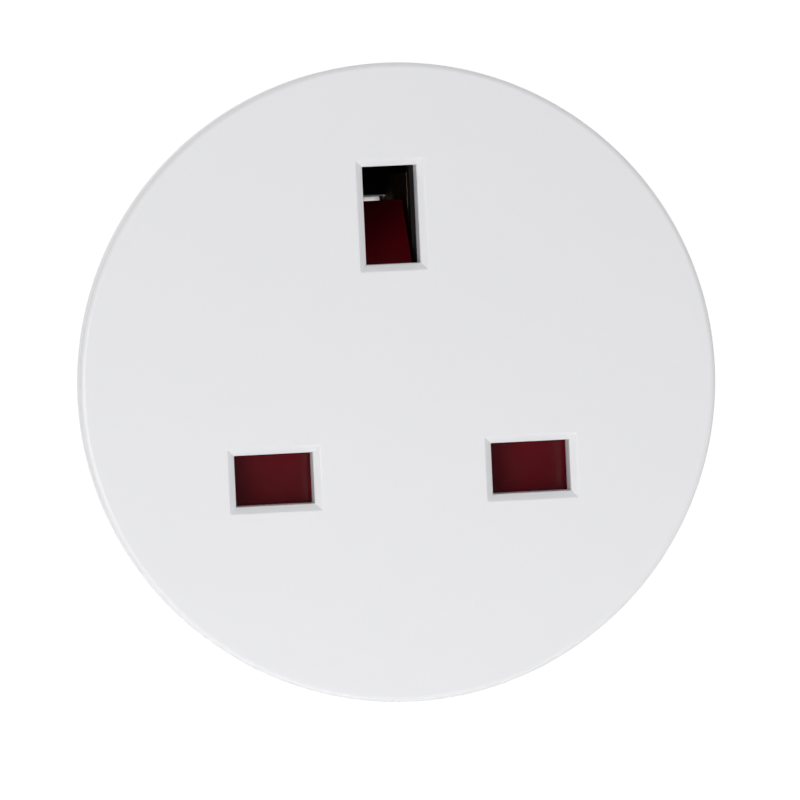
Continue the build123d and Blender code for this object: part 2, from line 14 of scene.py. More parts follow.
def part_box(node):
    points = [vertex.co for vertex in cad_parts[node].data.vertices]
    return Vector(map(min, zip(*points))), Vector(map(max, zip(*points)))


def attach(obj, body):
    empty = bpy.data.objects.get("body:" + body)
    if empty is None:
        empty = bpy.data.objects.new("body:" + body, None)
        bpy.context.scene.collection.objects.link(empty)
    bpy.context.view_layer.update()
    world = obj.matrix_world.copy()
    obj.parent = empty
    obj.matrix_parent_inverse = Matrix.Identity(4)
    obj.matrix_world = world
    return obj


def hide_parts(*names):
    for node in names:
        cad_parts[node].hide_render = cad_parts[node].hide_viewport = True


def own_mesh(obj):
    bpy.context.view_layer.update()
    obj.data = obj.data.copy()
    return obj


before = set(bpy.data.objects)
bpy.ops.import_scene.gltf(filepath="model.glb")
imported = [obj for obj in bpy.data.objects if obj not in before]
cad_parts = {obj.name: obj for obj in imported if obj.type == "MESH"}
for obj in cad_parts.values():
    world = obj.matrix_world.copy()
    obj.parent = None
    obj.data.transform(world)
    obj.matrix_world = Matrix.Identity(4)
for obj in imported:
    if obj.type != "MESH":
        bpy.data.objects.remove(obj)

log = logging.getLogger("adapter")

# Sizes are in millimetres, as in the part, and meshes are in metres.
MM = 0.001
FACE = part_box("front_cover")[0][1] / MM
SIDES = {"live": 1, "neutral": -1}

# Where the three screws stand round the middle, in degrees.
SCREW_ANGLES = (30, 150, 270)

# Facets of arcs and of turned pieces, and of the rounding on edges.
ARC_STEP = radians(9)
BODY_FACETS = 288
ROUNDING_STEPS = 3

# Limits below which corners are one, a bend is flat or a surface still follows its profile.
SAME_PLACE = 0.0005 * MM
FLAT_BEND = radians(0.2)
SHARP_BEND = radians(34)
SAME_WAY = radians(8)
ON_PROFILE = 0.01

# Edges of mouldings and of metal that turn at least this many degrees are rounded.
MOULDED_EDGE = 32.0
METAL_EDGE = 40.0

# How far a cutter reaches past the surface that it opens.
PAST = 1.0

Point = tuple[float, float]
Corner = tuple[float, float, float]
Colour = tuple[float, float, float]

Form = bmesh.types.BMesh
Piece = bpy.types.Object
Material = bpy.types.Material
Tree = bpy.types.NodeTree
Node = bpy.types.Node
Socket = bpy.types.NodeSocket


class Along(Enum):
    """The direction in which an outline is drawn out into a solid."""

    DEPTH = "outline of across and up"
    ACROSS = "outline of depth and up"
    UP = "outline of depth and across"


class Joining(Enum):
    """What a boolean does with the tool."""

    CUT = "DIFFERENCE"
    ADD = "UNION"


def place(across: float, depth: float, up: float) -> Vector:
    """Point at a depth behind the socket face, in metres."""
    return Vector((across, FACE + depth, up)) * MM


def rounded(corners: Sequence[Corner]) -> list[Point]:
    """Line through corners whose bends are arcs.

    Args:
        corners: (first, second, bend radius) of each corner.

    Returns:
        The points of the line, in order.
    """
    points: list[Point] = []
    for index, (first, second, radius) in enumerate(corners):
        if radius == 0:
            points.append((first, second))
            continue
        here = Vector((first, second))
        before = (Vector(corners[index - 1][:2]) - here).normalized()
        after = (Vector(corners[(index + 1) % len(corners)][:2]) - here).normalized()
        half = before.angle(after) / 2
        centre = here + (before + after).normalized() * (radius / sin(half))
        start = here + before * (radius / tan(half)) - centre
        end = here + after * (radius / tan(half)) - centre
        first_angle = atan2(start.y, start.x)
        turn = (atan2(end.y, end.x) - first_angle + pi) % (2 * pi) - pi
        steps = max(2, ceil(abs(turn) / ARC_STEP))
        for step in range(steps + 1):
            angle = first_angle + turn * step / steps
            points.append((centre.x + radius * cos(angle), centre.y + radius * sin(angle)))
    return points


def skin(form: Form, rings: Sequence[Sequence[bmesh.types.BMVert]]) -> Form:
    """Closes a row of rings into a solid, with a flat cap on the first and the last.

    Args:
        form: The mesh that holds the rings.
        rings: Rings of equally many corners.

    Returns:
        The same mesh, with its faces outwards.
    """
    for near, far in zip(rings, rings[1:]):
        for index in range(len(near)):
            form.faces.new((near[index - 1], near[index], far[index], far[index - 1]))
    form.faces.new(rings[0])
    form.faces.new(rings[-1])
    bmesh.ops.recalc_face_normals(form, faces=form.faces)
    return form


def lathe(profile: Sequence[Corner], across: float = 0.0, up: float = 0.0,
          segments: int = 192) -> Form:
    """Solid turned about an axis along the depth.

    Args:
        profile: (radius, depth, bend radius) corners, from the axis back to the axis.
        across: Place of the axis to the right of the middle.
        up: Place of the axis above the middle.
        segments: Facets round the axis.

    Returns:
        The turned solid.
    """
    form = bmesh.new()
    rings = []
    for radius, depth in rounded(profile):
        if radius > 0:
            angles = [2 * pi * index / segments for index in range(segments)]
            rings.append([form.verts.new(place(across + radius * cos(angle), depth,
                                               up + radius * sin(angle))) for angle in angles])
    return skin(form, rings)


def peg(radius: float, near: float, far: float, across: float = 0.0, up: float = 0.0,
        segments: int = 64) -> Form:
    """Plain round post or hole along the depth."""
    return lathe([(0, near, 0), (radius, near, 0), (radius, far, 0), (0, far, 0)], across, up, segments)


def screw_spots(circle: float) -> list[Point]:
    """Places of the three screws on a circle of this radius."""
    return [(circle * cos(radians(angle)), circle * sin(radians(angle))) for angle in SCREW_ANGLES]


def drawn_out(outline: Sequence[Point], start: float, end: float, along: Along) -> Form:
    """Solid made from an outline that is drawn out in one direction.

    Args:
        outline: Corners of the closed outline.
        start: Where the solid begins.
        end: Where it ends.
        along: The direction, which also says what the outline's two numbers are.

    Returns:
        The solid.
    """
    form = bmesh.new()
    rings = []
    for level in (start, end):
        if along is Along.DEPTH:
            spots = [place(across, level, up) for across, up in outline]
        elif along is Along.ACROSS:
            spots = [place(level, depth, up) for depth, up in outline]
        else:
            spots = [place(across, depth, level) for depth, across in outline]
        rings.append([form.verts.new(spot) for spot in spots])
    return skin(form, rings)


def block(left: float, right: float, near: float, far: float, low: float, high: float) -> Form:
    """Rectangular block between two places across, two depths and two heights."""
    outline = [(left, low), (right, low), (right, high), (left, high)]
    return drawn_out(outline, near, far, Along.DEPTH)


def funnel(levels: Sequence[Corner], across: float, up: float) -> Form:
    """Rectangular hole whose size changes with depth.

    Args:
        levels: (depth, width, height) of the hole, from the front backwards.
        across: Place of its middle to the right of the middle.
        up: Place of its middle above the middle.

    Returns:
        The solid of the hole.
    """
    form = bmesh.new()
    rings = []
    for depth, width, height in levels:
        corners = ((-1, -1), (1, -1), (1, 1), (-1, 1))
        rings.append([form.verts.new(place(across + right * width / 2, depth, up + high * height / 2))
                      for right, high in corners])
    return skin(form, rings)


def strip(path: Sequence[Corner], metal: float) -> list[Point]:
    """Edge outline of a metal strip of one thickness that is bent along a path.

    Args:
        path: (first, second, bend radius) corners of the strip's middle line.
        metal: Thickness of the strip.

    Returns:
        The closed outline.
    """
    line = [Vector(point) for point in rounded(path)]
    left, right = [], []
    for index, point in enumerate(line):
        before = line[max(index - 1, 0)]
        after = line[min(index + 1, len(line) - 1)]
        way = (after - before).normalized()
        side = Vector((-way.y, way.x)) * metal / 2
        left.append(tuple(point + side))
        right.append(tuple(point - side))
    return left + right[::-1]


def new_piece(name: str, *forms: Form) -> Piece:
    """Object at the origin that holds one or more finished solids.

    Args:
        name: Name of the object and of its mesh.
        forms: The solids, which are used up.

    Returns:
        The object, in the scene.
    """
    whole = bmesh.new()
    for form in forms:
        part = bpy.data.meshes.new(name)
        form.to_mesh(part)
        form.free()
        whole.from_mesh(part)
        bpy.data.meshes.remove(part)
    mesh = bpy.data.meshes.new(name)
    whole.to_mesh(mesh)
    whole.free()
    piece = bpy.data.objects.new(name, mesh)
    bpy.context.scene.collection.objects.link(piece)
    return piece


def settle(piece: Piece) -> None:
    """Turns what a piece's modifiers make into its own plain mesh.

    Args:
        piece: The piece, which loses its modifiers.
    """
    graph = bpy.context.evaluated_depsgraph_get()
    result = bpy.data.meshes.new_from_object(piece.evaluated_get(graph), preserve_all_data_layers=True,
                                             depsgraph=graph)
    piece.modifiers.clear()
    rough = piece.data
    piece.data = result
    bpy.data.meshes.remove(rough)
    result.name = piece.name


def use_tool(piece: Piece, joining: Joining, tool: Piece) -> None:
    """Cuts a tool out of a piece or adds it to the piece.

    Args:
        piece: The piece that changes.
        joining: What is done with the tool.
        tool: The tool, which is then removed.
    """
    modifier = piece.modifiers.new(joining.name, "BOOLEAN")
    modifier.operation = joining.value
    modifier.solver = "EXACT"
    modifier.object = tool
    settle(piece)
    bpy.data.objects.remove(tool)


def combine(piece: Piece, joining: Joining, *forms: Form) -> None:
    """Cuts solids out of a piece or adds them to it.

    Args:
        piece: The piece that changes.
        joining: What is done with the solids.
        forms: Solids that don't overlap each other.
    """
    use_tool(piece, joining, new_piece("tool", *forms))


def soften(piece: Piece, width: float, angle: float = METAL_EDGE) -> None:
    """Rounds a piece's sharp edges and evens its shading.

    Args:
        piece: The piece, with its final shape.
        width: Width of the rounding.
        angle: Edges turn at least this many degrees to be rounded.
    """
    form = bmesh.new()
    form.from_mesh(piece.data)
    bmesh.ops.remove_doubles(form, verts=form.verts, dist=SAME_PLACE)
    bmesh.ops.dissolve_limit(form, angle_limit=FLAT_BEND, verts=form.verts, edges=form.edges)
    form.to_mesh(piece.data)
    form.free()
    piece.data.shade_smooth()
    bevel = piece.modifiers.new("edges", "BEVEL")
    bevel.width = width * MM
    bevel.segments = ROUNDING_STEPS
    bevel.limit_method = "ANGLE"
    bevel.angle_limit = radians(angle)
    bevel.use_clamp_overlap = False
    normals = piece.modifiers.new("normals", "WEIGHTED_NORMAL")
    normals.keep_sharp = True
    settle(piece)


def surface_ways(line: Sequence[Vector], spot: Vector) -> list[Vector]:
    """Directions, as (outwards, backwards), that a turned form's surface faces at a place.

    Args:
        line: The form's profile.
        spot: (radius, depth) of the place.

    Returns:
        One direction for each stretch of the profile that runs through the place.
    """
    ways = []
    for index, (start, end) in enumerate(zip(line, line[1:])):
        span = end - start
        share = max(0.0, min(1.0, (spot - start).dot(span) / span.length_squared))
        if (start + span * share - spot).length > ON_PROFILE:
            continue
        before = line[index] - line[index - 1] if index > 0 else span
        after = line[index + 2] - line[index + 1] if index + 2 < len(line) else span
        first = span + before if before.angle(span) < 2 * ARC_STEP else span
        last = span + after if after.angle(span) < 2 * ARC_STEP else span
        along = first.normalized().lerp(last.normalized(), share).normalized()
        ways.append(Vector((along.y, -along.x)))
    return ways


def true_up(piece: Piece, profile: Sequence[Corner]) -> None:
    """Shades a piece evenly, and exactly where its surface lies on a turned form.

    Args:
        piece: The piece, with its final shape.
        profile: (radius, depth, bend radius) corners of the turned form.
    """
    form = bmesh.new()
    form.from_mesh(piece.data)
    bmesh.ops.remove_doubles(form, verts=form.verts, dist=SAME_PLACE)
    form.to_mesh(piece.data)
    form.free()
    piece.data.shade_smooth()
    piece.data.set_sharp_from_angle(angle=SHARP_BEND)
    piece.modifiers.new("normals", "WEIGHTED_NORMAL").keep_sharp = True
    settle(piece)
    mesh = piece.data
    line = [Vector(point) for point in rounded(profile)]
    ways = []
    for vert in mesh.vertices:
        out = Vector((vert.co.x, 0, vert.co.z))
        spot = Vector((out.length / MM, vert.co.y / MM - FACE))
        out.normalize()
        ways.append([out * way.x + Vector((0, way.y, 0)) for way in surface_ways(line, spot)])
    normals = [corner.vector.copy() for corner in mesh.corner_normals]
    for face in mesh.polygons:
        for corner in face.loop_indices:
            for way in ways[mesh.loops[corner].vertex_index]:
                if way.dot(face.normal) > cos(SAME_WAY):
                    normals[corner] = way
    mesh.normals_split_custom_set(normals)


def new_node(tree: Tree, kind: str, **settings: object) -> Node:
    """Adds a node to a tree and sets its own options.

    Args:
        tree: The tree.
        kind: Type of the node.
        settings: A value for each of the node's options.

    Returns:
        The node.
    """
    node = tree.nodes.new(kind)
    for key, value in settings.items():
        setattr(node, key, value)
    return node


@dataclass(frozen=True)
class Recipe:
    """A Geometry Nodes tree whose sizes are named inputs."""

    tree: Tree
    source: Node
    result: Node

    @classmethod
    def start(cls, name: str, **kinds: str) -> "Recipe":
        """Empty tree with named inputs.

        Args:
            name: Name of the tree.
            kinds: The kind of each input, such as Float, Int, Object or Material.

        Returns:
            The recipe, with its input and output nodes.
        """
        tree = bpy.data.node_groups.new(name, "GeometryNodeTree")
        for label, kind in kinds.items():
            tree.interface.new_socket(label, in_out="INPUT", socket_type="NodeSocket" + kind)
        tree.interface.new_socket("piece", in_out="OUTPUT", socket_type="NodeSocketGeometry")
        return cls(tree, tree.nodes.new("NodeGroupInput"), tree.nodes.new("NodeGroupOutput"))

    def add(self, kind: str, **settings: object) -> Node:
        """Adds a node and sets its own options."""
        return new_node(self.tree, kind, **settings)

    def join(self, output: Socket, node: Node, label: str) -> None:
        """Leads an output into the named input of a node."""
        self.tree.links.new(output, node.inputs[label])

    def feed(self, label: str, node: Node, name: str) -> None:
        """Leads a named input of the tree into a node."""
        self.join(self.source.outputs[label], node, name)

    def close(self, geometry: Socket) -> None:
        """Ends the tree: plain mesh, with the material of its input.

        Args:
            geometry: The output that holds the finished shape.
        """
        realized = self.add("GeometryNodeRealizeInstances")
        self.join(geometry, realized, "Geometry")
        painted = self.add("GeometryNodeSetMaterial")
        self.join(realized.outputs[0], painted, "Geometry")
        self.feed("finish", painted, "Material")
        self.tree.links.new(painted.outputs[0], self.result.inputs[0])

    def make(self, name: str, **values: object) -> Piece:
        """Runs the tree and keeps the result as a plain mesh.

        Args:
            name: Name of the new piece.
            values: A value for each named input.

        Returns:
            The piece, at the origin.
        """
        piece = new_piece(name)
        modifier = piece.modifiers.new("recipe", "NODES")
        modifier.node_group = self.tree
        for item in self.tree.interface.items_tree:
            if item.in_out == "INPUT":
                modifier[item.identifier] = values[item.name]
        settle(piece)
        return piece


class Shader:
    """Node tree of one material, with short calls to add patterns to it."""

    USUAL_NOISE = (0.3, 0.7)
    # Width, in millimetres, over which the painted highlight fades in.
    HIGHLIGHT_EDGE = 0.3

    def __init__(self, name: str) -> None:
        """Makes the material with its plain surface shader.

        Args:
            name: Name of the material.
        """
        self.material = bpy.data.materials.new(name)
        self.material.use_nodes = True
        self.tree = self.material.node_tree
        self.surface = self.tree.nodes["Principled BSDF"]

    def add(self, kind: str, **settings: object) -> Node:
        """Adds a node and sets its own options."""
        return new_node(self.tree, kind, **settings)

    def grain(self, stretch: Colour, detail: float = 3.0) -> Socket:
        """Noise fixed to the piece.

        Args:
            stretch: How many grains go in a metre across, in depth and up.
            detail: Layers of finer noise.

        Returns:
            The noise, from 0 to 1.
        """
        spot = self.add("ShaderNodeTexCoord")
        mapping = self.add("ShaderNodeMapping")
        mapping.inputs["Scale"].default_value = stretch
        noise = self.add("ShaderNodeTexNoise")
        noise.inputs["Scale"].default_value = 1.0
        noise.inputs["Detail"].default_value = detail
        self.tree.links.new(spot.outputs["Object"], mapping.inputs["Vector"])
        self.tree.links.new(mapping.outputs[0], noise.inputs["Vector"])
        return noise.outputs["Fac"]

    def spread(self, pattern: Socket, low: float, high: float) -> Socket:
        """Stretches the middle of a pattern over a range of values.

        Args:
            pattern: The pattern, from 0 to 1.
            low: Value at its usual low end.
            high: Value at its usual high end.

        Returns:
            The spread pattern.
        """
        node = self.add("ShaderNodeMapRange")
        ends = (*self.USUAL_NOISE, low, high)
        for label, value in zip(("From Min", "From Max", "To Min", "To Max"), ends):
            node.inputs[label].default_value = value
        self.tree.links.new(pattern, node.inputs["Value"])
        return node.outputs[0]

    def tint(self, pattern: Socket, colour: Colour, other: Colour) -> None:
        """Colours the surface from one colour to another by a pattern.

        Args:
            pattern: The pattern.
            colour: Colour at its low end.
            other: Colour at its high end.
        """
        node = self.add("ShaderNodeMix", data_type="RGBA")
        self.tree.links.new(self.spread(pattern, 0, 1), node.inputs["Factor"])
        colours = [socket for socket in node.inputs if socket.type == "RGBA"]
        colours[0].default_value = (*colour, 1)
        colours[1].default_value = (*other, 1)
        result = [socket for socket in node.outputs if socket.type == "RGBA"][0]
        self.tree.links.new(result, self.surface.inputs["Base Color"])

    def sheen(self, pattern: Socket, low: float, high: float) -> None:
        """Lets the roughness vary by a pattern."""
        self.tree.links.new(self.spread(pattern, low, high), self.surface.inputs["Roughness"])

    def plate(self, colour: Colour, gloss: float, depth: float) -> None:
        """Paints a highlight: a brighter, glossier metal colour on the part of the surface that lies behind
        a depth.

        Args:
            colour: Colour of the painted highlight.
            gloss: Its roughness.
            depth: Where it begins, in millimetres behind the face.
        """
        spot = self.add("ShaderNodeTexCoord")
        parts = self.add("ShaderNodeSeparateXYZ")
        self.tree.links.new(spot.outputs["Object"], parts.inputs[0])
        edge = self.add("ShaderNodeMapRange")
        edge.inputs["From Min"].default_value = (FACE + depth) * MM
        edge.inputs["From Max"].default_value = (FACE + depth + self.HIGHLIGHT_EDGE) * MM
        self.tree.links.new(parts.outputs["Y"], edge.inputs["Value"])
        for name, kind, value in (("Base Color", "RGBA", (*colour, 1)), ("Roughness", "FLOAT", gloss)):
            mix = self.add("ShaderNodeMix", data_type=kind)
            self.tree.links.new(edge.outputs[0], mix.inputs["Factor"])
            first, second = [socket for socket in mix.inputs if socket.enabled][1:]
            self.tree.links.new(self.surface.inputs[name].links[0].from_socket, first)
            second.default_value = value
            result = [socket for socket in mix.outputs if socket.enabled][0]
            self.tree.links.new(result, self.surface.inputs[name])

    def relief(self, *layers: tuple[Socket, float]) -> None:
        """Raises the surface by patterns.

        Args:
            layers: Each pattern with its height in metres.
        """
        below = None
        for pattern, height in layers:
            bump = self.add("ShaderNodeBump")
            bump.inputs["Strength"].default_value = 1.0
            bump.inputs["Distance"].default_value = height
            self.tree.links.new(pattern, bump.inputs["Height"])
            if below is not None:
                self.tree.links.new(below, bump.inputs["Normal"])
            below = bump.outputs["Normal"]
        self.tree.links.new(below, self.surface.inputs["Normal"])


@dataclass(frozen=True)
class Moulding:
    """Moulded plastic, with faint flow clouds, a fine orange peel and an uneven gloss."""

    name: str
    colour: Colour
    shade: Colour
    gloss_low: float
    gloss_high: float
    flow: float = 70.0
    peel: float = 900.0
    peel_height: float = 0.000003
    spark: float = 9000.0
    spark_height: float = 0.0
    reflectance: float = 0.5

    def material(self) -> Material:
        """Makes the material.

        Returns:
            The material, with its node tree.
        """
        shader = Shader(self.name)
        clouds = shader.grain((self.flow, self.flow, self.flow), 4.0)
        fine = shader.grain((self.peel, self.peel, self.peel), 2.0)
        shader.tint(clouds, self.colour, self.shade)
        shader.sheen(fine, self.gloss_low, self.gloss_high)
        layers = [(fine, self.peel_height)]
        if self.spark_height > 0:
            layers.append((shader.grain((self.spark, self.spark, self.spark), 3.0), self.spark_height))
        shader.relief(*layers)
        shader.surface.inputs["IOR"].default_value = 1.5
        shader.surface.inputs["Specular IOR Level"].default_value = self.reflectance
        return shader.material


@dataclass(frozen=True)
class PaintedHighlight:
    """Painted highlight: a brighter, glossier metal colour on a piece, from a depth behind the face
    backwards.
    """

    colour: Colour
    gloss: float
    depth: float


@dataclass(frozen=True)
class Metal:
    """Bare or plated metal, with the fine lines that turning or rolling leaves, and on one finish a painted
    highlight behind a depth.
    """

    name: str
    colour: Colour
    shade: Colour
    gloss_low: float
    gloss_high: float
    lines: Colour
    line_height: float = 0.0000015
    scuffs: Colour = (1500.0, 60.0, 1500.0)
    flow: float = 160.0
    painted_highlight: PaintedHighlight | None = None

    def material(self) -> Material:
        """Makes the material.

        Returns:
            The material, with its node tree.
        """
        shader = Shader(self.name)
        lines = shader.grain(self.lines, 2.0)
        scuffs = shader.grain(self.scuffs, 5.0)
        clouds = shader.grain((self.flow, self.flow, self.flow), 4.0)
        shader.tint(clouds, self.colour, self.shade)
        shader.sheen(scuffs, self.gloss_low, self.gloss_high)
        if self.painted_highlight:
            shader.plate(self.painted_highlight.colour, self.painted_highlight.gloss, self.painted_highlight.depth)
        shader.relief((lines, self.line_height))
        shader.surface.inputs["Metallic"].default_value = 1.0
        return shader.material


COVER_WHITE = Moulding("cover_white", (0.792, 0.793, 0.809), (0.789, 0.790, 0.806), 0.28, 0.31,
                       flow=35.0, peel_height=0.0000012)
HOUSING_WHITE = Moulding("housing_white", (0.765, 0.775, 0.79), (0.74, 0.752, 0.77), 0.38, 0.5,
                         spark_height=0.000006)
CARRIER_BLACK = Moulding("carrier_black", (0.014, 0.010, 0.011), (0.010, 0.007, 0.008), 0.5, 0.62,
                         spark_height=0.000004, reflectance=0.3)
SHUTTER_RED = Moulding("shutter_red", (0.119, 0.003, 0.007), (0.110, 0.002, 0.006), 0.20, 0.26,
                       reflectance=0.3)
NICKEL_TURNED = Metal("nickel_turned", (0.72, 0.70, 0.67), (0.66, 0.64, 0.61), 0.16, 0.30,
                      (120.0, 5200.0, 120.0))
NICKEL_ROLLED = Metal("nickel_rolled", (0.74, 0.72, 0.69), (0.67, 0.65, 0.62), 0.18, 0.32,
                      (3600.0, 120.0, 120.0), scuffs=(900.0, 90.0, 90.0))
# Contact metal: dark brass, with a painted highlight of near-white glossy metal on the earth clip's web
# behind 24.1 mm, which shows as a bright strip through the earth slot.
CONTACT_WITH_PAINTED_HIGHLIGHT = Metal("contact_tinned", (0.50, 0.36, 0.24), (0.42, 0.29, 0.19), 0.30, 0.45,
                       (90.0, 90.0, 2600.0), scuffs=(700.0, 700.0, 120.0),
                       painted_highlight=PaintedHighlight((0.86, 0.83, 0.81), 0.15, 24.1))
CONTACT_BRASS = Metal("contact_brass", (0.78, 0.58, 0.28), (0.70, 0.50, 0.22), 0.2, 0.34,
                      (90.0, 90.0, 2600.0), scuffs=(700.0, 700.0, 120.0))
SPRING_STEEL = Metal("spring_steel", (0.50, 0.50, 0.50), (0.42, 0.42, 0.42), 0.25, 0.38,
                     (400.0, 400.0, 3200.0))
ZINC_STEEL = Metal("zinc_steel", (0.66, 0.67, 0.69), (0.56, 0.57, 0.59), 0.22, 0.4,
                   (300.0, 5000.0, 300.0))


@dataclass
class SocketCover:
    """Round white face with its three chamfered slots, collars, screw bosses and spigot."""

    radius: float = 27.5
    thickness: float = 3.0
    edge_radius: float = 0.5
    band_depth: float = 3.4
    spigot_radius: float = 25.2
    spigot_wall: float = 1.8
    spigot_depth: float = 6.9
    line_offset: float = 11.11
    line_drop: float = 7.81
    earth_rise: float = 14.42
    line_width: float = 6.78
    line_height: float = 4.41
    earth_width: float = 4.69
    earth_height: float = 8.43
    chamfer: float = 0.6
    collar_wall: float = 1.2
    collar_relief: float = 0.5
    relief_step: float = 0.01
    collar_depth: float = 4.2
    boss_radius: float = 2.4
    boss_depth: float = 13.9
    pilot_radius: float = 1.28
    pilot_depth: float = 6.7
    screw_circle: float = 21.3
    edge_softness: float = 0.07

    def slots(self) -> list[tuple[float, float, float, float]]:
        """Lists the three slots.

        Returns:
            (across, up, width, height) of each slot.
        """
        return [
            (self.line_offset, -self.line_drop, self.line_width, self.line_height),
            (-self.line_offset, -self.line_drop, self.line_width, self.line_height),
            (0.0, self.earth_rise, self.earth_width, self.earth_height),
        ]

    def slot(self, across: float, up: float, width: float, height: float) -> Form:
        """Cutter for one slot: mitred mouth, straight throat and a wider end inside the collar.

        Args:
            across: Place of the slot's middle across.
            up: Its place above the face's middle.
            width: Width of the throat.
            height: Its height.

        Returns:
            The solid to be cut out.
        """
        wide = 2 * (self.chamfer + PAST)
        relief = 2 * self.collar_relief
        return funnel([
            (-PAST, width + wide, height + wide),
            (self.chamfer, width, height),
            (self.thickness, width, height),
            (self.thickness + self.relief_step, width + relief, height + relief),
            (self.collar_depth + PAST, width + relief, height + relief),
        ], across, up)

    def build(self) -> Piece:
        """Makes the cover as one solid with softened edges.

        Returns:
            The cover.
        """
        inner = self.spigot_radius - self.spigot_wall
        cover = new_piece("socket_cover", lathe([
            (0, 0, 0),
            (self.radius, 0, self.edge_radius),
            (self.radius, self.band_depth, 0),
            (self.spigot_radius, self.band_depth, 0),
            (self.spigot_radius, self.spigot_depth, 0),
            (inner, self.spigot_depth, 0),
            (inner, self.thickness, 0),
            (0, self.thickness, 0),
        ], segments=BODY_FACETS))
        growth = 2 * (self.collar_relief + self.collar_wall)
        collars = [block(across - (width + growth) / 2, across + (width + growth) / 2,
                         self.thickness / 2, self.collar_depth,
                         up - (height + growth) / 2, up + (height + growth) / 2)
                   for across, up, width, height in self.slots()]
        combine(cover, Joining.ADD, *collars)
        spots = screw_spots(self.screw_circle)
        combine(cover, Joining.ADD, *[peg(self.boss_radius, self.thickness / 2, self.boss_depth, *spot)
                                      for spot in spots])
        combine(cover, Joining.CUT, *[peg(self.pilot_radius, self.pilot_depth, self.boss_depth + PAST, *spot)
                                      for spot in spots])
        combine(cover, Joining.CUT, *[self.slot(*slot) for slot in self.slots()])
        soften(cover, self.edge_softness, MOULDED_EDGE)
        return cover


@dataclass
class GripRods:
    """Rods that cut the finger scallops into both sides of the housing."""

    count: int = 4
    pitch: float = 3.6
    radius: float = 1.5
    length: float = 60.0
    first_depth: float = 7.6
    first_across: float = 27.6
    facets: int = 48

    def recipe(self) -> Recipe:
        """Rods in a row that leans with the taper, made by Geometry Nodes.

        Returns:
            The recipe, with the row's sizes as its inputs.
        """
        recipe = Recipe.start("grip_rods", count="Int", pitch="Vector", first="Vector", radius="Float",
                              length="Float", finish="Material")
        row = recipe.add("GeometryNodeMeshLine", mode="OFFSET")
        recipe.feed("count", row, "Count")
        recipe.feed("first", row, "Start Location")
        recipe.feed("pitch", row, "Offset")
        rod = recipe.add("GeometryNodeMeshCylinder", fill_type="NGON")
        rod.inputs["Vertices"].default_value = self.facets
        recipe.feed("radius", rod, "Radius")
        recipe.feed("length", rod, "Depth")
        rods = recipe.add("GeometryNodeInstanceOnPoints")
        recipe.join(row.outputs["Mesh"], rods, "Points")
        recipe.join(rod.outputs["Mesh"], rods, "Instance")
        recipe.close(rods.outputs["Instances"])
        return recipe

    def cut(self, housing: Piece, taper: float) -> None:
        """Cuts the scallops.

        Args:
            housing: The piece that they are cut into.
            taper: Slope of the housing's sides, in degrees.
        """
        recipe = self.recipe()
        for name, side in SIDES.items():
            step = Vector((-side * self.pitch * tan(radians(taper)), self.pitch, 0)) * MM
            rods = recipe.make(name + "_rods", count=self.count, pitch=step,
                               first=place(side * self.first_across, self.first_depth, 0),
                               radius=self.radius * MM, length=self.length * MM, finish=None)
            use_tool(housing, Joining.CUT, rods)


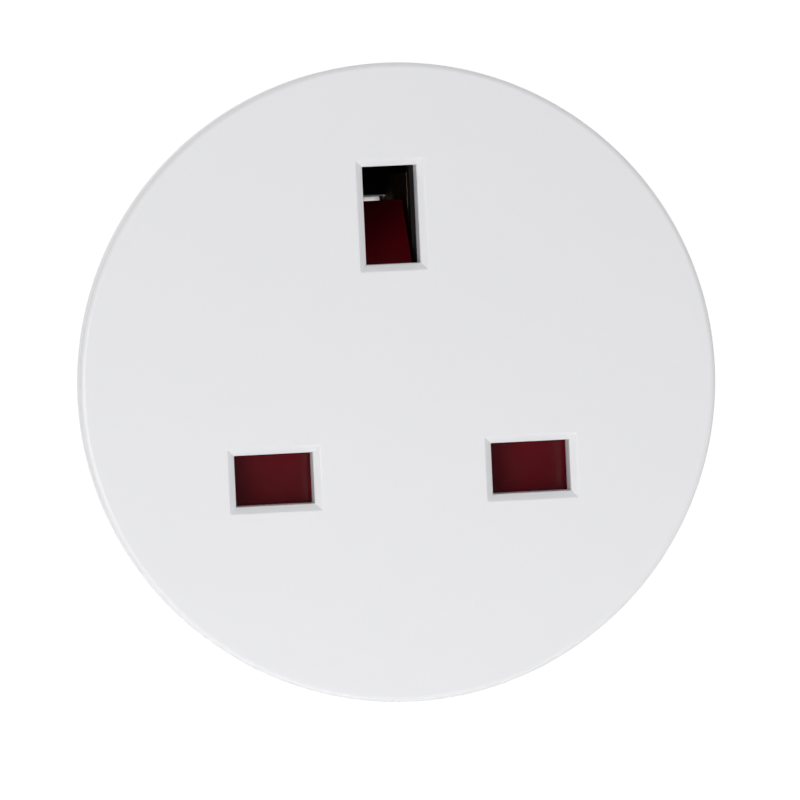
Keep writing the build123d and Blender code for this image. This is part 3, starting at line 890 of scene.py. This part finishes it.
@dataclass
class Housing:
    """White housing that narrows to the round plug nose, in one moulding."""

    front: float = 3.4
    groove: float = 0.5
    groove_end: float = 3.8
    side: float = 27.4
    taper: float = 7.0
    depth: float = 26.0
    shoulder_radius: float = 3.5
    wall: float = 2.2
    carrier_seat: float = 25.3
    ledge: float = 9.0
    nose_radius: float = 18.6
    nose_end: float = 43.0
    nose_wall: float = 2.4
    hollow_facets: int = 160
    root_radius: float = 1.2
    rim_radius: float = 1.0
    guide_width: float = 5.6
    guide_floor: float = 15.9
    recess_width: float = 9.0
    recess_floor: float = 15.7
    overlap: float = 0.5
    bracket_gap: float = 7.2
    bracket_top: float = 17.1
    bracket_end: float = 26.7
    pocket_low: float = 14.6
    pocket_depth: float = 39.9
    rivet_room: float = 1.5
    rivet_rise: float = 13.2
    pin_offset: float = 9.5
    pin_hole: float = 2.63
    pin_tower: float = 4.3
    pin_shoulder: float = 30.8
    earth_rise: float = 10.0
    earth_hole: float = 3.3
    earth_tower: float = 4.4
    earth_tower_depth: float = 30.0
    screw_circle: float = 21.3
    screw_seat: float = 17.0
    screw_hole: float = 1.35
    screw_front: float = 13.9
    well_radius: float = 2.4
    column_radius: float = 3.3
    column_play: float = 0.1
    edge_softness: float = 0.12

    def side_at(self, depth: float) -> float:
        """Outer radius of the tapered sides at a depth behind the face."""
        return self.side - (depth - self.front) * tan(radians(self.taper))

    def outside(self) -> list[Corner]:
        """Profile of the outer form with the parting groove, shoulder and nose.

        Returns:
            (radius, depth, bend radius) corners.
        """
        groove_floor = self.side_at(self.groove_end) - self.groove
        return [
            (0, self.front, 0),
            (groove_floor, self.front, 0),
            (groove_floor, self.groove_end, 0),
            (self.side_at(self.groove_end), self.groove_end, 0),
            (self.side_at(self.depth), self.depth, self.shoulder_radius),
            (self.nose_radius, self.depth, self.root_radius),
            (self.nose_radius, self.nose_end, self.rim_radius),
            (0, self.nose_end, 0),
        ]

    def hollow(self) -> Form:
        """Hollow of the body behind the cover.

        Returns:
            The solid to be cut out.
        """
        back = self.depth - self.wall
        return lathe([
            (0, self.front - PAST, 0),
            (self.carrier_seat, self.front - PAST, 0),
            (self.carrier_seat, self.ledge, 0),
            (self.side_at(self.ledge) - self.wall, self.ledge, 0),
            (self.side_at(back) - self.wall, back, 0),
            (0, back, 0),
        ])

    def nose_hollow(self) -> list[Point]:
        """Outline of the hollow in the nose, narrower at the flats and the guide grooves.

        Returns:
            (across, up) corners.
        """
        radius = self.nose_radius - self.nose_wall
        flat = self.recess_floor - self.nose_wall
        inner = self.guide_floor - self.nose_wall
        step = self.guide_width / 2 + self.nose_wall
        outline: list[Point] = []
        for index in range(self.hollow_facets):
            angle = 2 * pi * index / self.hollow_facets
            across, up = radius * cos(angle), radius * sin(angle)
            up = max(-flat, min(flat, up))
            if abs(up) < step:
                across = max(-inner, min(inner, across))
            outline.append((across, up))
        return outline

    def build(self) -> Piece:
        """Makes the housing as one hollow solid with softened edges.

        Returns:
            The housing.
        """
        back = self.depth - self.wall
        end_wall = self.nose_end - self.nose_wall
        housing = new_piece("plug_housing", lathe(self.outside(), segments=BODY_FACETS))
        combine(housing, Joining.CUT, self.hollow())
        combine(housing, Joining.CUT, drawn_out(self.nose_hollow(), back - PAST, end_wall, Along.DEPTH))
        towers = [peg(self.pin_tower, self.pin_shoulder, end_wall + PAST, side * self.pin_offset)
                  for side in SIDES.values()]
        combine(housing, Joining.ADD, *towers)
        combine(housing, Joining.ADD, peg(self.earth_tower, self.earth_tower_depth, end_wall + PAST,
                                          0, self.earth_rise))
        near, far = self.screw_front + self.column_play, back + self.column_play
        combine(housing, Joining.ADD, *[peg(self.column_radius, near, far, *spot)
                                        for spot in screw_spots(self.screw_circle)])
        self.cut_nose(housing)
        self.cut_holes(housing)
        soften(housing, self.edge_softness, MOULDED_EDGE)
        self.cut_wells(housing)
        GripRods().cut(housing, self.taper)
        true_up(housing, self.outside())
        return housing

    def cut_nose(self, housing: Piece) -> None:
        """Cuts the guide grooves, the earth clip recesses and the ways for the earth bracket.

        Args:
            housing: The piece that they are cut into.
        """
        far = self.nose_end + PAST
        rim = self.nose_radius + 2 * PAST
        guides, recesses, ways, pockets = [], [], [], []
        half_gap = self.bracket_gap / 2
        for side in (1, -1):
            guides.append(block(*sorted((side * self.guide_floor, side * rim)), self.depth, far,
                                -self.guide_width / 2, self.guide_width / 2))
            recesses.append(block(-self.recess_width / 2, self.recess_width / 2, self.depth, far,
                                  *sorted((side * self.recess_floor, side * rim))))
            inner = self.recess_floor - self.nose_wall - self.overlap
            ways.append(block(-half_gap, half_gap, self.depth - self.wall - PAST, self.bracket_end,
                              *sorted((side * inner, side * self.bracket_top))))
            outer = self.recess_floor + self.overlap
            pockets.append(block(-half_gap, half_gap, self.pocket_depth, far,
                                 *sorted((side * self.pocket_low, side * outer))))
        combine(housing, Joining.CUT, *guides, *recesses)
        combine(housing, Joining.CUT, *ways, *pockets)
        combine(housing, Joining.CUT, block(-self.rivet_room, self.rivet_room, self.depth - PAST,
                                            self.bracket_end, self.rivet_rise - self.rivet_room,
                                            self.rivet_rise + self.rivet_room))

    def cut_holes(self, housing: Piece) -> None:
        """Cuts the holes for the pins and the earth tube.

        Args:
            housing: The piece that they are cut into.
        """
        far = self.nose_end + PAST
        holes = [peg(self.pin_hole, self.pin_shoulder - PAST, far, side * self.pin_offset)
                 for side in SIDES.values()]
        holes.append(peg(self.earth_hole, self.earth_tower_depth - PAST, far, 0, self.earth_rise))
        combine(housing, Joining.CUT, *holes)

    def cut_wells(self, housing: Piece) -> None:
        """Cuts the screw holes with the wells that their heads sit in.

        Args:
            housing: The piece that they are cut into.
        """
        for spot in screw_spots(self.screw_circle):
            combine(housing, Joining.CUT, lathe([
                (0, self.screw_front - PAST, 0),
                (self.screw_hole, self.screw_front - PAST, 0),
                (self.screw_hole, self.screw_seat, 0),
                (self.well_radius, self.screw_seat, 0),
                (self.well_radius, self.depth + PAST, 0),
                (0, self.depth + PAST, 0),
            ], *spot, segments=64))


@dataclass
class PlugPins:
    """Two solid round pins, thicker inside the nose, with a flange, neck and peened head."""

    offset: float = 9.5
    radius: float = 2.4
    base_radius: float = 2.6
    tip: float = 62.0
    tip_radius: float = 1.9
    nose_end: float = 43.0
    shoulder: float = 30.8
    flange: float = 29.6
    flange_radius: float = 3.6
    neck_radius: float = 1.7
    bar_metal: float = 1.0
    head_radius: float = 2.4
    head: float = 0.7
    edge_softness: float = 0.06

    def build(self, side: str) -> Piece:
        """Makes the pin on one side.

        Args:
            side: Live or neutral.

        Returns:
            The pin.
        """
        neck = self.flange - self.bar_metal
        pin = new_piece(side + "_plug_pin", lathe([
            (0, neck - self.head, 0),
            (self.head_radius, neck - self.head, self.head / 2),
            (self.head_radius, neck, 0),
            (self.neck_radius, neck, 0),
            (self.neck_radius, self.flange, 0),
            (self.flange_radius, self.flange, 0),
            (self.flange_radius, self.shoulder, 0),
            (self.base_radius, self.shoulder, 0),
            (self.base_radius, self.nose_end, 0),
            (self.radius, self.nose_end, 0),
            (self.radius, self.tip, self.tip_radius),
            (0, self.tip, 0),
        ], SIDES[side] * self.offset, segments=128))
        soften(pin, self.edge_softness)
        return pin


@dataclass
class EarthParts:
    """Bracket with both side clips, turned earth tube and the clip for the earth pin."""

    rise: float = 10.0
    bracket_metal: float = 0.8
    bracket_width: float = 7.0
    bracket_depth: float = 25.5
    bracket_reach: float = 16.3
    bracket_softness: float = 0.12
    bow: float = 1.1
    bow_radius: float = 9.0
    bend_radius: float = 1.2
    hook: float = 1.4
    hook_depth: float = 41.5
    rivet_rise: float = 13.2
    rivet_radius: float = 0.93
    tube_radius: float = 3.2
    bore_radius: float = 2.45
    bore_length: float = 14.4
    tube_mouth: float = 42.6
    tube_slit: float = 0.5
    tube_slit_length: float = 8.0
    neck_radius: float = 1.8
    neck_length: float = 1.1
    spigot_radius: float = 1.5
    spigot_play: float = 0.03
    tube_softness: float = 0.1
    clip_metal: float = 0.7
    clip_low: float = 11.3
    clip_high: float = 18.0
    web_high: float = 16.0
    leaf_end: float = 22.4
    mouth: float = 11.2
    mouth_reach: float = 3.0
    pinch: float = 14.2
    pinch_reach: float = 2.1
    pinch_radius: float = 4.0
    web: float = 24.75
    root_reach: float = 2.5
    clip_bend: float = 0.8
    web_dish: float = 0.2
    web_bow_radius: float = 6.0
    web_lean: float = 3.3
    lean_rise: float = 1.0
    clip_softness: float = 0.06

    def bracket(self) -> Piece:
        """Makes the strip that comes out of the nose as both side clips.

        Returns:
            The bracket.
        """
        straight = self.bracket_depth + 2 * self.bend_radius
        half = [
            (self.hook_depth, self.bracket_reach - self.hook, 0.0),
            (self.hook_depth, self.bracket_reach, self.bend_radius),
            ((straight + self.hook_depth) / 2, self.bracket_reach + self.bow, self.bow_radius),
            (straight, self.bracket_reach, self.bow_radius),
            (self.bracket_depth, self.bracket_reach, self.bend_radius),
        ]
        path = half + [(depth, -reach, radius) for depth, reach, radius in reversed(half)]
        bracket = new_piece("earth_bracket_strip", drawn_out(
            strip(path, self.bracket_metal), -self.bracket_width / 2, self.bracket_width / 2,
            Along.ACROSS))
        near, far = self.bracket_depth - PAST, self.bracket_depth + PAST
        combine(bracket, Joining.CUT, peg(self.rivet_radius, near, far, 0, self.rivet_rise),
                peg(self.spigot_radius + self.spigot_play, near, far, 0, self.rise))
        soften(bracket, self.bracket_softness)
        return bracket

    def tube(self) -> Piece:
        """Makes the slit tube that takes a round earth pin.

        Returns:
            The tube.
        """
        front = self.bracket_depth - self.bracket_metal / 2
        back = self.bracket_depth + self.bracket_metal / 2
        neck_end = back + self.neck_length
        tube = new_piece("earth_pin_tube", lathe([
            (0, front, 0),
            (self.spigot_radius, front, 0),
            (self.spigot_radius, back, 0),
            (self.neck_radius, back, 0),
            (self.neck_radius, neck_end, 0),
            (self.tube_radius, neck_end, 0),
            (self.tube_radius, self.tube_mouth, 0),
            (self.bore_radius, self.tube_mouth, 0),
            (self.bore_radius, self.tube_mouth - self.bore_length, 0),
            (0, self.tube_mouth - self.bore_length, 0),
        ], 0, self.rise, segments=96))
        half = self.tube_slit / 2
        combine(tube, Joining.CUT, block(-self.tube_radius - PAST, self.tube_radius + PAST,
                                         self.tube_mouth - self.tube_slit_length, self.tube_mouth + PAST,
                                         self.rise - half, self.rise + half))
        soften(tube, self.tube_softness)
        return tube

    def clip(self) -> Piece:
        """Makes the clip whose dished and leaning web shows through the earth slot.

        Returns:
            The clip.
        """
        half = [
            (self.mouth, self.mouth_reach, 0.0),
            (self.pinch, self.pinch_reach, self.pinch_radius),
            (self.web - self.web_dish, self.root_reach, self.clip_bend),
        ]
        middle = [(self.web, 0.0, self.web_bow_radius)]
        path = half + middle + [(depth, -reach, radius) for depth, reach, radius in reversed(half)]
        clip = new_piece("earth_pin_clip", drawn_out(strip(path, self.clip_metal), self.clip_low,
                                                     self.clip_high, Along.UP))
        bend_start = self.web - self.clip_metal / 2 - self.clip_bend
        combine(clip, Joining.CUT, block(-self.mouth_reach, self.mouth_reach, self.leaf_end,
                                         self.web + PAST, self.web_high, self.clip_high + PAST))
        combine(clip, Joining.CUT, peg(self.rivet_radius, self.web - PAST, self.web + PAST,
                                       0, self.rivet_rise))
        self.lean(clip, bend_start)
        soften(clip, self.clip_softness)
        return clip

    def lean(self, clip: Piece, bend_start: float) -> None:
        """Leans the top of the web back a little.

        Args:
            clip: The clip.
            bend_start: Depth at which the web begins.
        """
        form = bmesh.new()
        form.from_mesh(clip.data)
        hinge = place(0, bend_start, self.rivet_rise + self.lean_rise)
        bmesh.ops.bisect_plane(form, geom=form.verts[:] + form.edges[:] + form.faces[:],
                               plane_co=hinge, plane_no=(0, 0, 1))
        for vert in form.verts:
            if vert.co.y > hinge.y and vert.co.z > hinge.z:
                vert.co.y += (vert.co.z - hinge.z) * tan(radians(self.web_lean))
        form.to_mesh(clip.data)
        form.free()


@dataclass
class ShutterUnit:
    """Dark red shutter with its ramp, and the coil spring that lifts it."""

    front: float = 4.5
    back: float = 6.7
    wing: float = 15.2
    wing_low: float = -11.415
    wing_high: float = -4.905
    corner: float = 1.5
    slot_corner: float = 0.4
    small_corner: float = 0.3
    edge_softness: float = 0.12
    shoulder: float = 6.0
    shoulder_top: float = -1.0
    tongue: float = 4.3
    ramp_low: float = 9.905
    ramp_high: float = 15.705
    ramp_depth: float = 10.3
    tongue_back_low: float = 7.505
    slot_width: float = 4.0
    slot_top: float = -4.5
    spring_seat: float = -17.5
    spring_depth: float = 5.2
    spring_diameter: float = 3.2
    spring_wire: float = 0.45
    spring_turns: float = 7.0
    turn_steps: int = 32
    wire_facets: int = 14
    seat_gap: float = 0.05
    travel: float = 5.41

    def build(self) -> Piece:
        """Makes the shutter plate with its sloped head.

        Returns:
            The shutter, closed.
        """
        half_slot, half_tongue = self.slot_width / 2, self.tongue / 2
        right = [
            (half_slot, self.slot_top, self.slot_corner),
            (half_slot, self.wing_low, self.slot_corner),
            (self.wing, self.wing_low, self.corner),
            (self.wing, self.wing_high, self.small_corner),
            (self.shoulder, self.wing_high, self.corner / 2),
            (self.shoulder, self.shoulder_top, self.corner),
            (half_tongue, self.shoulder_top, self.small_corner),
            (half_tongue, self.ramp_low, 0),
        ]
        left = [(-across, up, radius) for across, up, radius in reversed(right)]
        shutter = new_piece("red_shutter", drawn_out(rounded(right + left), self.front, self.back,
                                                     Along.DEPTH))
        ramp = [(self.front, self.ramp_low), (self.ramp_depth, self.ramp_high),
                (self.ramp_depth, self.tongue_back_low), (self.front, self.tongue_back_low)]
        combine(shutter, Joining.ADD, drawn_out(ramp, -half_tongue, half_tongue, Along.ACROSS))
        soften(shutter, self.edge_softness, MOULDED_EDGE)
        return shutter

    def spring(self, finish: Material) -> Piece:
        """Makes the coil spring with Geometry Nodes.

        Args:
            finish: The wire's material.

        Returns:
            The spring between its seat and the shutter.
        """
        recipe = Recipe.start("coil_spring", turns="Float", coil="Float", wire="Float", height="Float",
                              foot="Vector", finish="Material")
        coil = recipe.add("GeometryNodeCurveSpiral")
        coil.inputs["Resolution"].default_value = self.turn_steps
        recipe.feed("turns", coil, "Rotations")
        recipe.feed("coil", coil, "Start Radius")
        recipe.feed("coil", coil, "End Radius")
        recipe.feed("height", coil, "Height")
        wire = recipe.add("GeometryNodeCurvePrimitiveCircle")
        wire.inputs["Resolution"].default_value = self.wire_facets
        recipe.feed("wire", wire, "Radius")
        drawn = recipe.add("GeometryNodeCurveToMesh")
        drawn.inputs["Fill Caps"].default_value = True
        recipe.join(coil.outputs[0], drawn, "Curve")
        recipe.join(wire.outputs[0], drawn, "Profile Curve")
        moved = recipe.add("GeometryNodeTransform")
        recipe.join(drawn.outputs[0], moved, "Geometry")
        recipe.feed("foot", moved, "Translation")
        recipe.close(moved.outputs[0])
        foot = self.spring_seat + self.spring_wire / 2 + self.seat_gap
        height = self.slot_top - self.spring_wire / 2 - self.seat_gap - foot
        spring = recipe.make("coil_spring", turns=self.spring_turns,
                             coil=(self.spring_diameter - self.spring_wire) / 2 * MM,
                             wire=self.spring_wire / 2 * MM, height=height * MM,
                             foot=place(0, self.spring_depth, foot), finish=finish)
        spring.data.shade_smooth()
        return spring


@dataclass
class CoverScrews:
    """Three self-tapping screws with a cross recess, seen at the bottom of their wells."""

    circle: float = 21.3
    seat: float = 17.0
    length: float = 10.0
    radius: float = 1.25
    head_radius: float = 2.2
    head: float = 1.7
    cross_width: float = 0.8
    cross_depth: float = 1.1
    cross_length: float = 2.6
    edge_softness: float = 0.06

    def master(self) -> Piece:
        """One screw on the plug's axis, from which the others are copied.

        Returns:
            The screw.
        """
        tip = self.seat - self.length
        end = self.seat + self.head
        screw = new_piece("master_screw", lathe([
            (0, tip, 0),
            (self.radius / 2, tip, 0),
            (self.radius, tip + self.radius, 0),
            (self.radius, self.seat, 0),
            (self.head_radius, self.seat, 0),
            (self.head_radius, end, self.head / 2),
            (0, end, 0),
        ], segments=48))
        long, wide = self.cross_length / 2, self.cross_width / 2
        floor = end - self.cross_depth
        combine(screw, Joining.CUT, block(-long, long, floor, end + PAST, -wide, wide))
        combine(screw, Joining.CUT, block(-wide, wide, floor, end + PAST, -long, long))
        soften(screw, self.edge_softness)
        return screw

    def build(self, finish: Material) -> Piece:
        """Sets the screws round their circle with Geometry Nodes.

        Args:
            finish: The screws' material.

        Returns:
            All the screws as one piece.
        """
        recipe = Recipe.start("screw_ring", screw="Object", circle="Float", count="Int", first="Float",
                              finish="Material")
        ring = recipe.add("GeometryNodeMeshCircle")
        recipe.feed("count", ring, "Vertices")
        recipe.feed("circle", ring, "Radius")
        turn = recipe.add("ShaderNodeCombineXYZ")
        recipe.feed("first", turn, "Z")
        turned = recipe.add("GeometryNodeTransform")
        recipe.join(ring.outputs[0], turned, "Geometry")
        recipe.join(turn.outputs[0], turned, "Rotation")
        upright = recipe.add("GeometryNodeTransform")
        upright.inputs["Rotation"].default_value = (pi / 2, 0, 0)
        recipe.join(turned.outputs[0], upright, "Geometry")
        screw = recipe.add("GeometryNodeObjectInfo")
        recipe.feed("screw", screw, "Object")
        copies = recipe.add("GeometryNodeInstanceOnPoints")
        recipe.join(upright.outputs[0], copies, "Points")
        recipe.join(screw.outputs["Geometry"], copies, "Instance")
        recipe.close(copies.outputs["Instances"])
        master = self.master()
        screws = recipe.make("cover_screw_set", screw=master, circle=self.circle * MM,
                             count=len(SCREW_ANGLES), first=radians(SCREW_ANGLES[0]), finish=finish)
        bpy.data.objects.remove(master)
        return screws


@dataclass(frozen=True)
class Lamp:
    """Square soft lamp that points at the face.

    The spot is across, in depth behind the face and up, the level is the share of full daylight that
    the lamp gives a surface facing it, and shine says whether gloss and metal mirror it.
    """

    name: str
    spot: Corner
    size: float
    level: float
    shine: bool = False

    def build(self) -> None:
        """Hangs the lamp."""
        spot = place(*self.spot)
        away = spot - place(0, 0, 0)
        data = bpy.data.lights.new(self.name, "AREA")
        data.size = self.size * MM
        data.energy = self.level * pi ** 2 * away.length_squared
        lamp = bpy.data.objects.new(self.name, data)
        lamp.visible_camera = False
        lamp.visible_glossy = self.shine
        lamp.matrix_world = Matrix.Translation(spot) @ away.to_track_quat("Z", "Y").to_matrix().to_4x4()
        bpy.context.scene.collection.objects.link(lamp)


@dataclass
class Studio:
    """White floor and backdrop, soft lamps and the camera of the photograph."""

    floor: float = -120.0
    half_width: float = 3000.0
    floor_front: float = 500.0
    backdrop: float = 1500.0
    azimuth: float = -6.55
    elevation: float = 2.0
    roll: float = 2.6
    distance: float = 600.0
    view_width: float = 68.67
    aim_across: float = 0.03
    aim_up: float = -1.48
    world_level: float = 0.59
    front_level: float = 0.04
    floor_glow: float = 0.62
    dim_until: float = -0.4
    bright_from: float = 0.3
    paint: float = 0.8
    sensor: float = 36.0
    clip_near: float = 0.01
    clip_far: float = 20.0
    lamps: tuple[Lamp, ...] = (
        Lamp("key_lamp", (-320, -600, -110), 320, 0.46, shine=True),
        Lamp("low_lamp", (-10, -100, -112), 90, 0.37),
        Lamp("back_lamp", (300, 500, 300), 400, 0.46),
        Lamp("front_lamp", (-41, -900, 87), 150, 0.0082, shine=True),
    )

    def seen_directly(self, tree: Tree, *rays: str) -> Socket:
        """Tells some kinds of ray from all others.

        Args:
            tree: The tree of the material or the world.
            rays: Names of the kinds of ray.

        Returns:
            A socket that is 1 for those rays and 0 for others.
        """
        path = tree.nodes.new("ShaderNodeLightPath")
        result = path.outputs[rays[0]]
        for ray in rays[1:]:
            node = tree.nodes.new("ShaderNodeMath")
            node.operation = "MAXIMUM"
            tree.links.new(result, node.inputs[0])
            tree.links.new(path.outputs[ray], node.inputs[1])
            result = node.outputs[0]
        return result

    def choose(self, tree: Tree, switch: Socket, off: Socket | float, on: Socket | float) -> Socket:
        """Goes from one value to another as a switch goes from 0 to 1.

        Args:
            tree: The tree of the material or the world.
            switch: The switch.
            off: Value or socket for 0.
            on: Value or socket for 1.

        Returns:
            The chosen value.
        """
        node = tree.nodes.new("ShaderNodeMapRange")
        tree.links.new(switch, node.inputs["Value"])
        for label, value in (("To Min", off), ("To Max", on)):
            if isinstance(value, Socket):
                tree.links.new(value, node.inputs[label])
            else:
                node.inputs[label].default_value = value
        return node.outputs[0]

    def ground(self) -> Material:
        """Pale material that the camera and mirrors see as white, apart from the shadow on it.

        Returns:
            The material.
        """
        material = bpy.data.materials.new("studio_white")
        material.use_nodes = True
        tree = material.node_tree
        tree.nodes.clear()
        paint = tree.nodes.new("ShaderNodeBsdfDiffuse")
        paint.inputs["Color"].default_value = (self.paint, self.paint, self.paint, 1)
        glow = tree.nodes.new("ShaderNodeEmission")
        seen = self.seen_directly(tree, "Is Camera Ray", "Is Glossy Ray", "Is Transmission Ray")
        tree.links.new(self.choose(tree, seen, 0.0, self.floor_glow), glow.inputs["Strength"])
        both = tree.nodes.new("ShaderNodeAddShader")
        tree.links.new(paint.outputs[0], both.inputs[0])
        tree.links.new(glow.outputs[0], both.inputs[1])
        clear = tree.nodes.new("ShaderNodeBsdfTransparent")
        side = tree.nodes.new("ShaderNodeNewGeometry")
        mix = tree.nodes.new("ShaderNodeMixShader")
        tree.links.new(side.outputs["Backfacing"], mix.inputs["Fac"])
        tree.links.new(both.outputs[0], mix.inputs[1])
        tree.links.new(clear.outputs[0], mix.inputs[2])
        output = tree.nodes.new("ShaderNodeOutputMaterial")
        tree.links.new(mix.outputs[0], output.inputs["Surface"])
        return material

    def stage(self) -> None:
        """Makes the floor and the backdrop, which are open from behind."""
        side, front = self.half_width * MM, -self.floor_front * MM
        floor, back = self.floor * MM, self.backdrop * MM
        top = floor + side
        sheets = {
            "floor": [(-side, front, floor), (side, front, floor), (side, back, floor),
                      (-side, back, floor)],
            "backdrop": [(-side, back, floor), (side, back, floor), (side, back, top),
                         (-side, back, top)],
        }
        material = self.ground()
        for name, corners in sheets.items():
            form = bmesh.new()
            form.faces.new([form.verts.new(corner) for corner in corners])
            sheet = new_piece(name, form)
            sheet.data.materials.append(material)

    def world(self) -> None:
        """Lights everything evenly, and shows gloss a dim room in front and white behind."""
        world = bpy.data.worlds.new("studio")
        world.use_nodes = True
        tree = world.node_tree
        sky = tree.nodes["Background"]
        sky.inputs["Color"].default_value = (1, 1, 1, 1)
        spot = tree.nodes.new("ShaderNodeTexCoord")
        parts = tree.nodes.new("ShaderNodeSeparateXYZ")
        tree.links.new(spot.outputs["Generated"], parts.inputs[0])
        gloss = self.choose(tree, parts.outputs["Y"], self.front_level, 1.0)
        gloss.node.inputs["From Min"].default_value = self.dim_until
        gloss.node.inputs["From Max"].default_value = self.bright_from
        glossy = self.seen_directly(tree, "Is Glossy Ray")
        direct = self.seen_directly(tree, "Is Camera Ray", "Is Transmission Ray")
        level = self.choose(tree, glossy, self.world_level, gloss)
        tree.links.new(self.choose(tree, direct, level, 1.0), sky.inputs["Strength"])
        bpy.context.scene.world = world

    def camera(self) -> None:
        """Sets the camera as it stood for the photograph."""
        turn = Matrix.Rotation(radians(self.azimuth), 3, "Z")
        tilt = Matrix.Rotation(radians(90 - self.elevation), 3, "X")
        roll = Matrix.Rotation(radians(-self.roll), 3, "Z")
        pose = turn @ tilt @ roll
        aim = Vector((0, FACE, 0)) + pose @ Vector((self.aim_across, self.aim_up, 0))
        data = bpy.data.cameras.new("camera")
        data.sensor_width = self.sensor
        data.lens = data.sensor_width * self.distance / self.view_width
        data.clip_start = self.clip_near
        data.clip_end = self.clip_far
        camera = bpy.data.objects.new("camera", data)
        spot = (aim + pose @ Vector((0, 0, self.distance))) * MM
        camera.matrix_world = Matrix.Translation(spot) @ pose.to_4x4()
        bpy.context.scene.collection.objects.link(camera)
        bpy.context.scene.camera = camera

    def build(self) -> None:
        """Makes the whole studio."""
        self.stage()
        self.world()
        for lamp in self.lamps:
            lamp.build()
        self.camera()
        bpy.context.scene.view_settings.view_transform = "Standard"


@dataclass(frozen=True)
class Dressing:
    """How one visible piece is painted and what it stands for."""

    piece: Piece
    node: str
    body: str
    slot: str
    finish: Material

    def apply(self) -> None:
        """Paints the piece, hangs it on its body and hides the plain solid behind it."""
        if not self.piece.data.materials:
            self.piece.data.materials.append(self.finish)
        self.piece.data.materials[0] = self.finish
        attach(self.piece, self.body)
        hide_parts(self.node)
        log.info("%s stands for %s", self.piece.name, self.node)


def dress_inner_parts(finishes: dict[str, Material]) -> None:
    """Paints the solids that stay as they are, inside the housing.

    Args:
        finishes: A material for each such node.
    """
    for name, material in finishes.items():
        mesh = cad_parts[name].data
        mesh.materials.clear()
        mesh.materials.append(material)
        log.info("%s keeps its solid", name)


def main() -> None:
    """Builds and dresses every piece, then the studio."""
    logging.basicConfig(level=logging.INFO)
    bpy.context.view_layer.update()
    brass = CONTACT_BRASS.material()
    steel = SPRING_STEEL.material()
    turned = NICKEL_TURNED.material()
    rolled = NICKEL_ROLLED.material()
    # Contact metal whose web carries a painted highlight.
    highlighted_contact = CONTACT_WITH_PAINTED_HIGHLIGHT.material()
    zinc = ZINC_STEEL.material()
    black = CARRIER_BLACK.material()
    white, housing_white, red = COVER_WHITE.material(), HOUSING_WHITE.material(), SHUTTER_RED.material()
    earth, shutter_unit, pins = EarthParts(), ShutterUnit(), PlugPins()
    Dressing(SocketCover().build(), "front_cover", "housing", "cover_plastic", white).apply()
    Dressing(Housing().build(), "rear_housing", "housing", "housing_plastic", housing_white).apply()
    for side in SIDES:
        Dressing(pins.build(side), side + "_pin", "housing", "nickel_plate", turned).apply()
    Dressing(earth.bracket(), "earth_bracket", "housing", "nickel_plate", rolled).apply()
    Dressing(earth.tube(), "earth_tube", "housing", "nickel_plate", turned).apply()
    Dressing(earth.clip(), "earth_clip", "housing", "contact_brass", highlighted_contact).apply()
    Dressing(shutter_unit.build(), "shutter", "shutter", "shutter_plastic", red).apply()
    Dressing(CoverScrews().build(zinc), "cover_screws", "housing", "zinc_steel", zinc).apply()
    spring = shutter_unit.spring(steel)
    Dressing(spring, "shutter_spring", "housing", "spring_steel", steel).apply()
    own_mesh(spring)
    dress_inner_parts({
        "contact_carrier": black,
        "pin_retainer": black,
        "earth_band": steel,
        "live_band": steel,
        "neutral_band": steel,
        "live_bar": brass,
        "neutral_bar": brass,
        "live_clip": highlighted_contact,
        "neutral_clip": highlighted_contact,
        "clip_rivets": brass,
    })
    Studio().build()


if __name__ == "__main__":
    main()
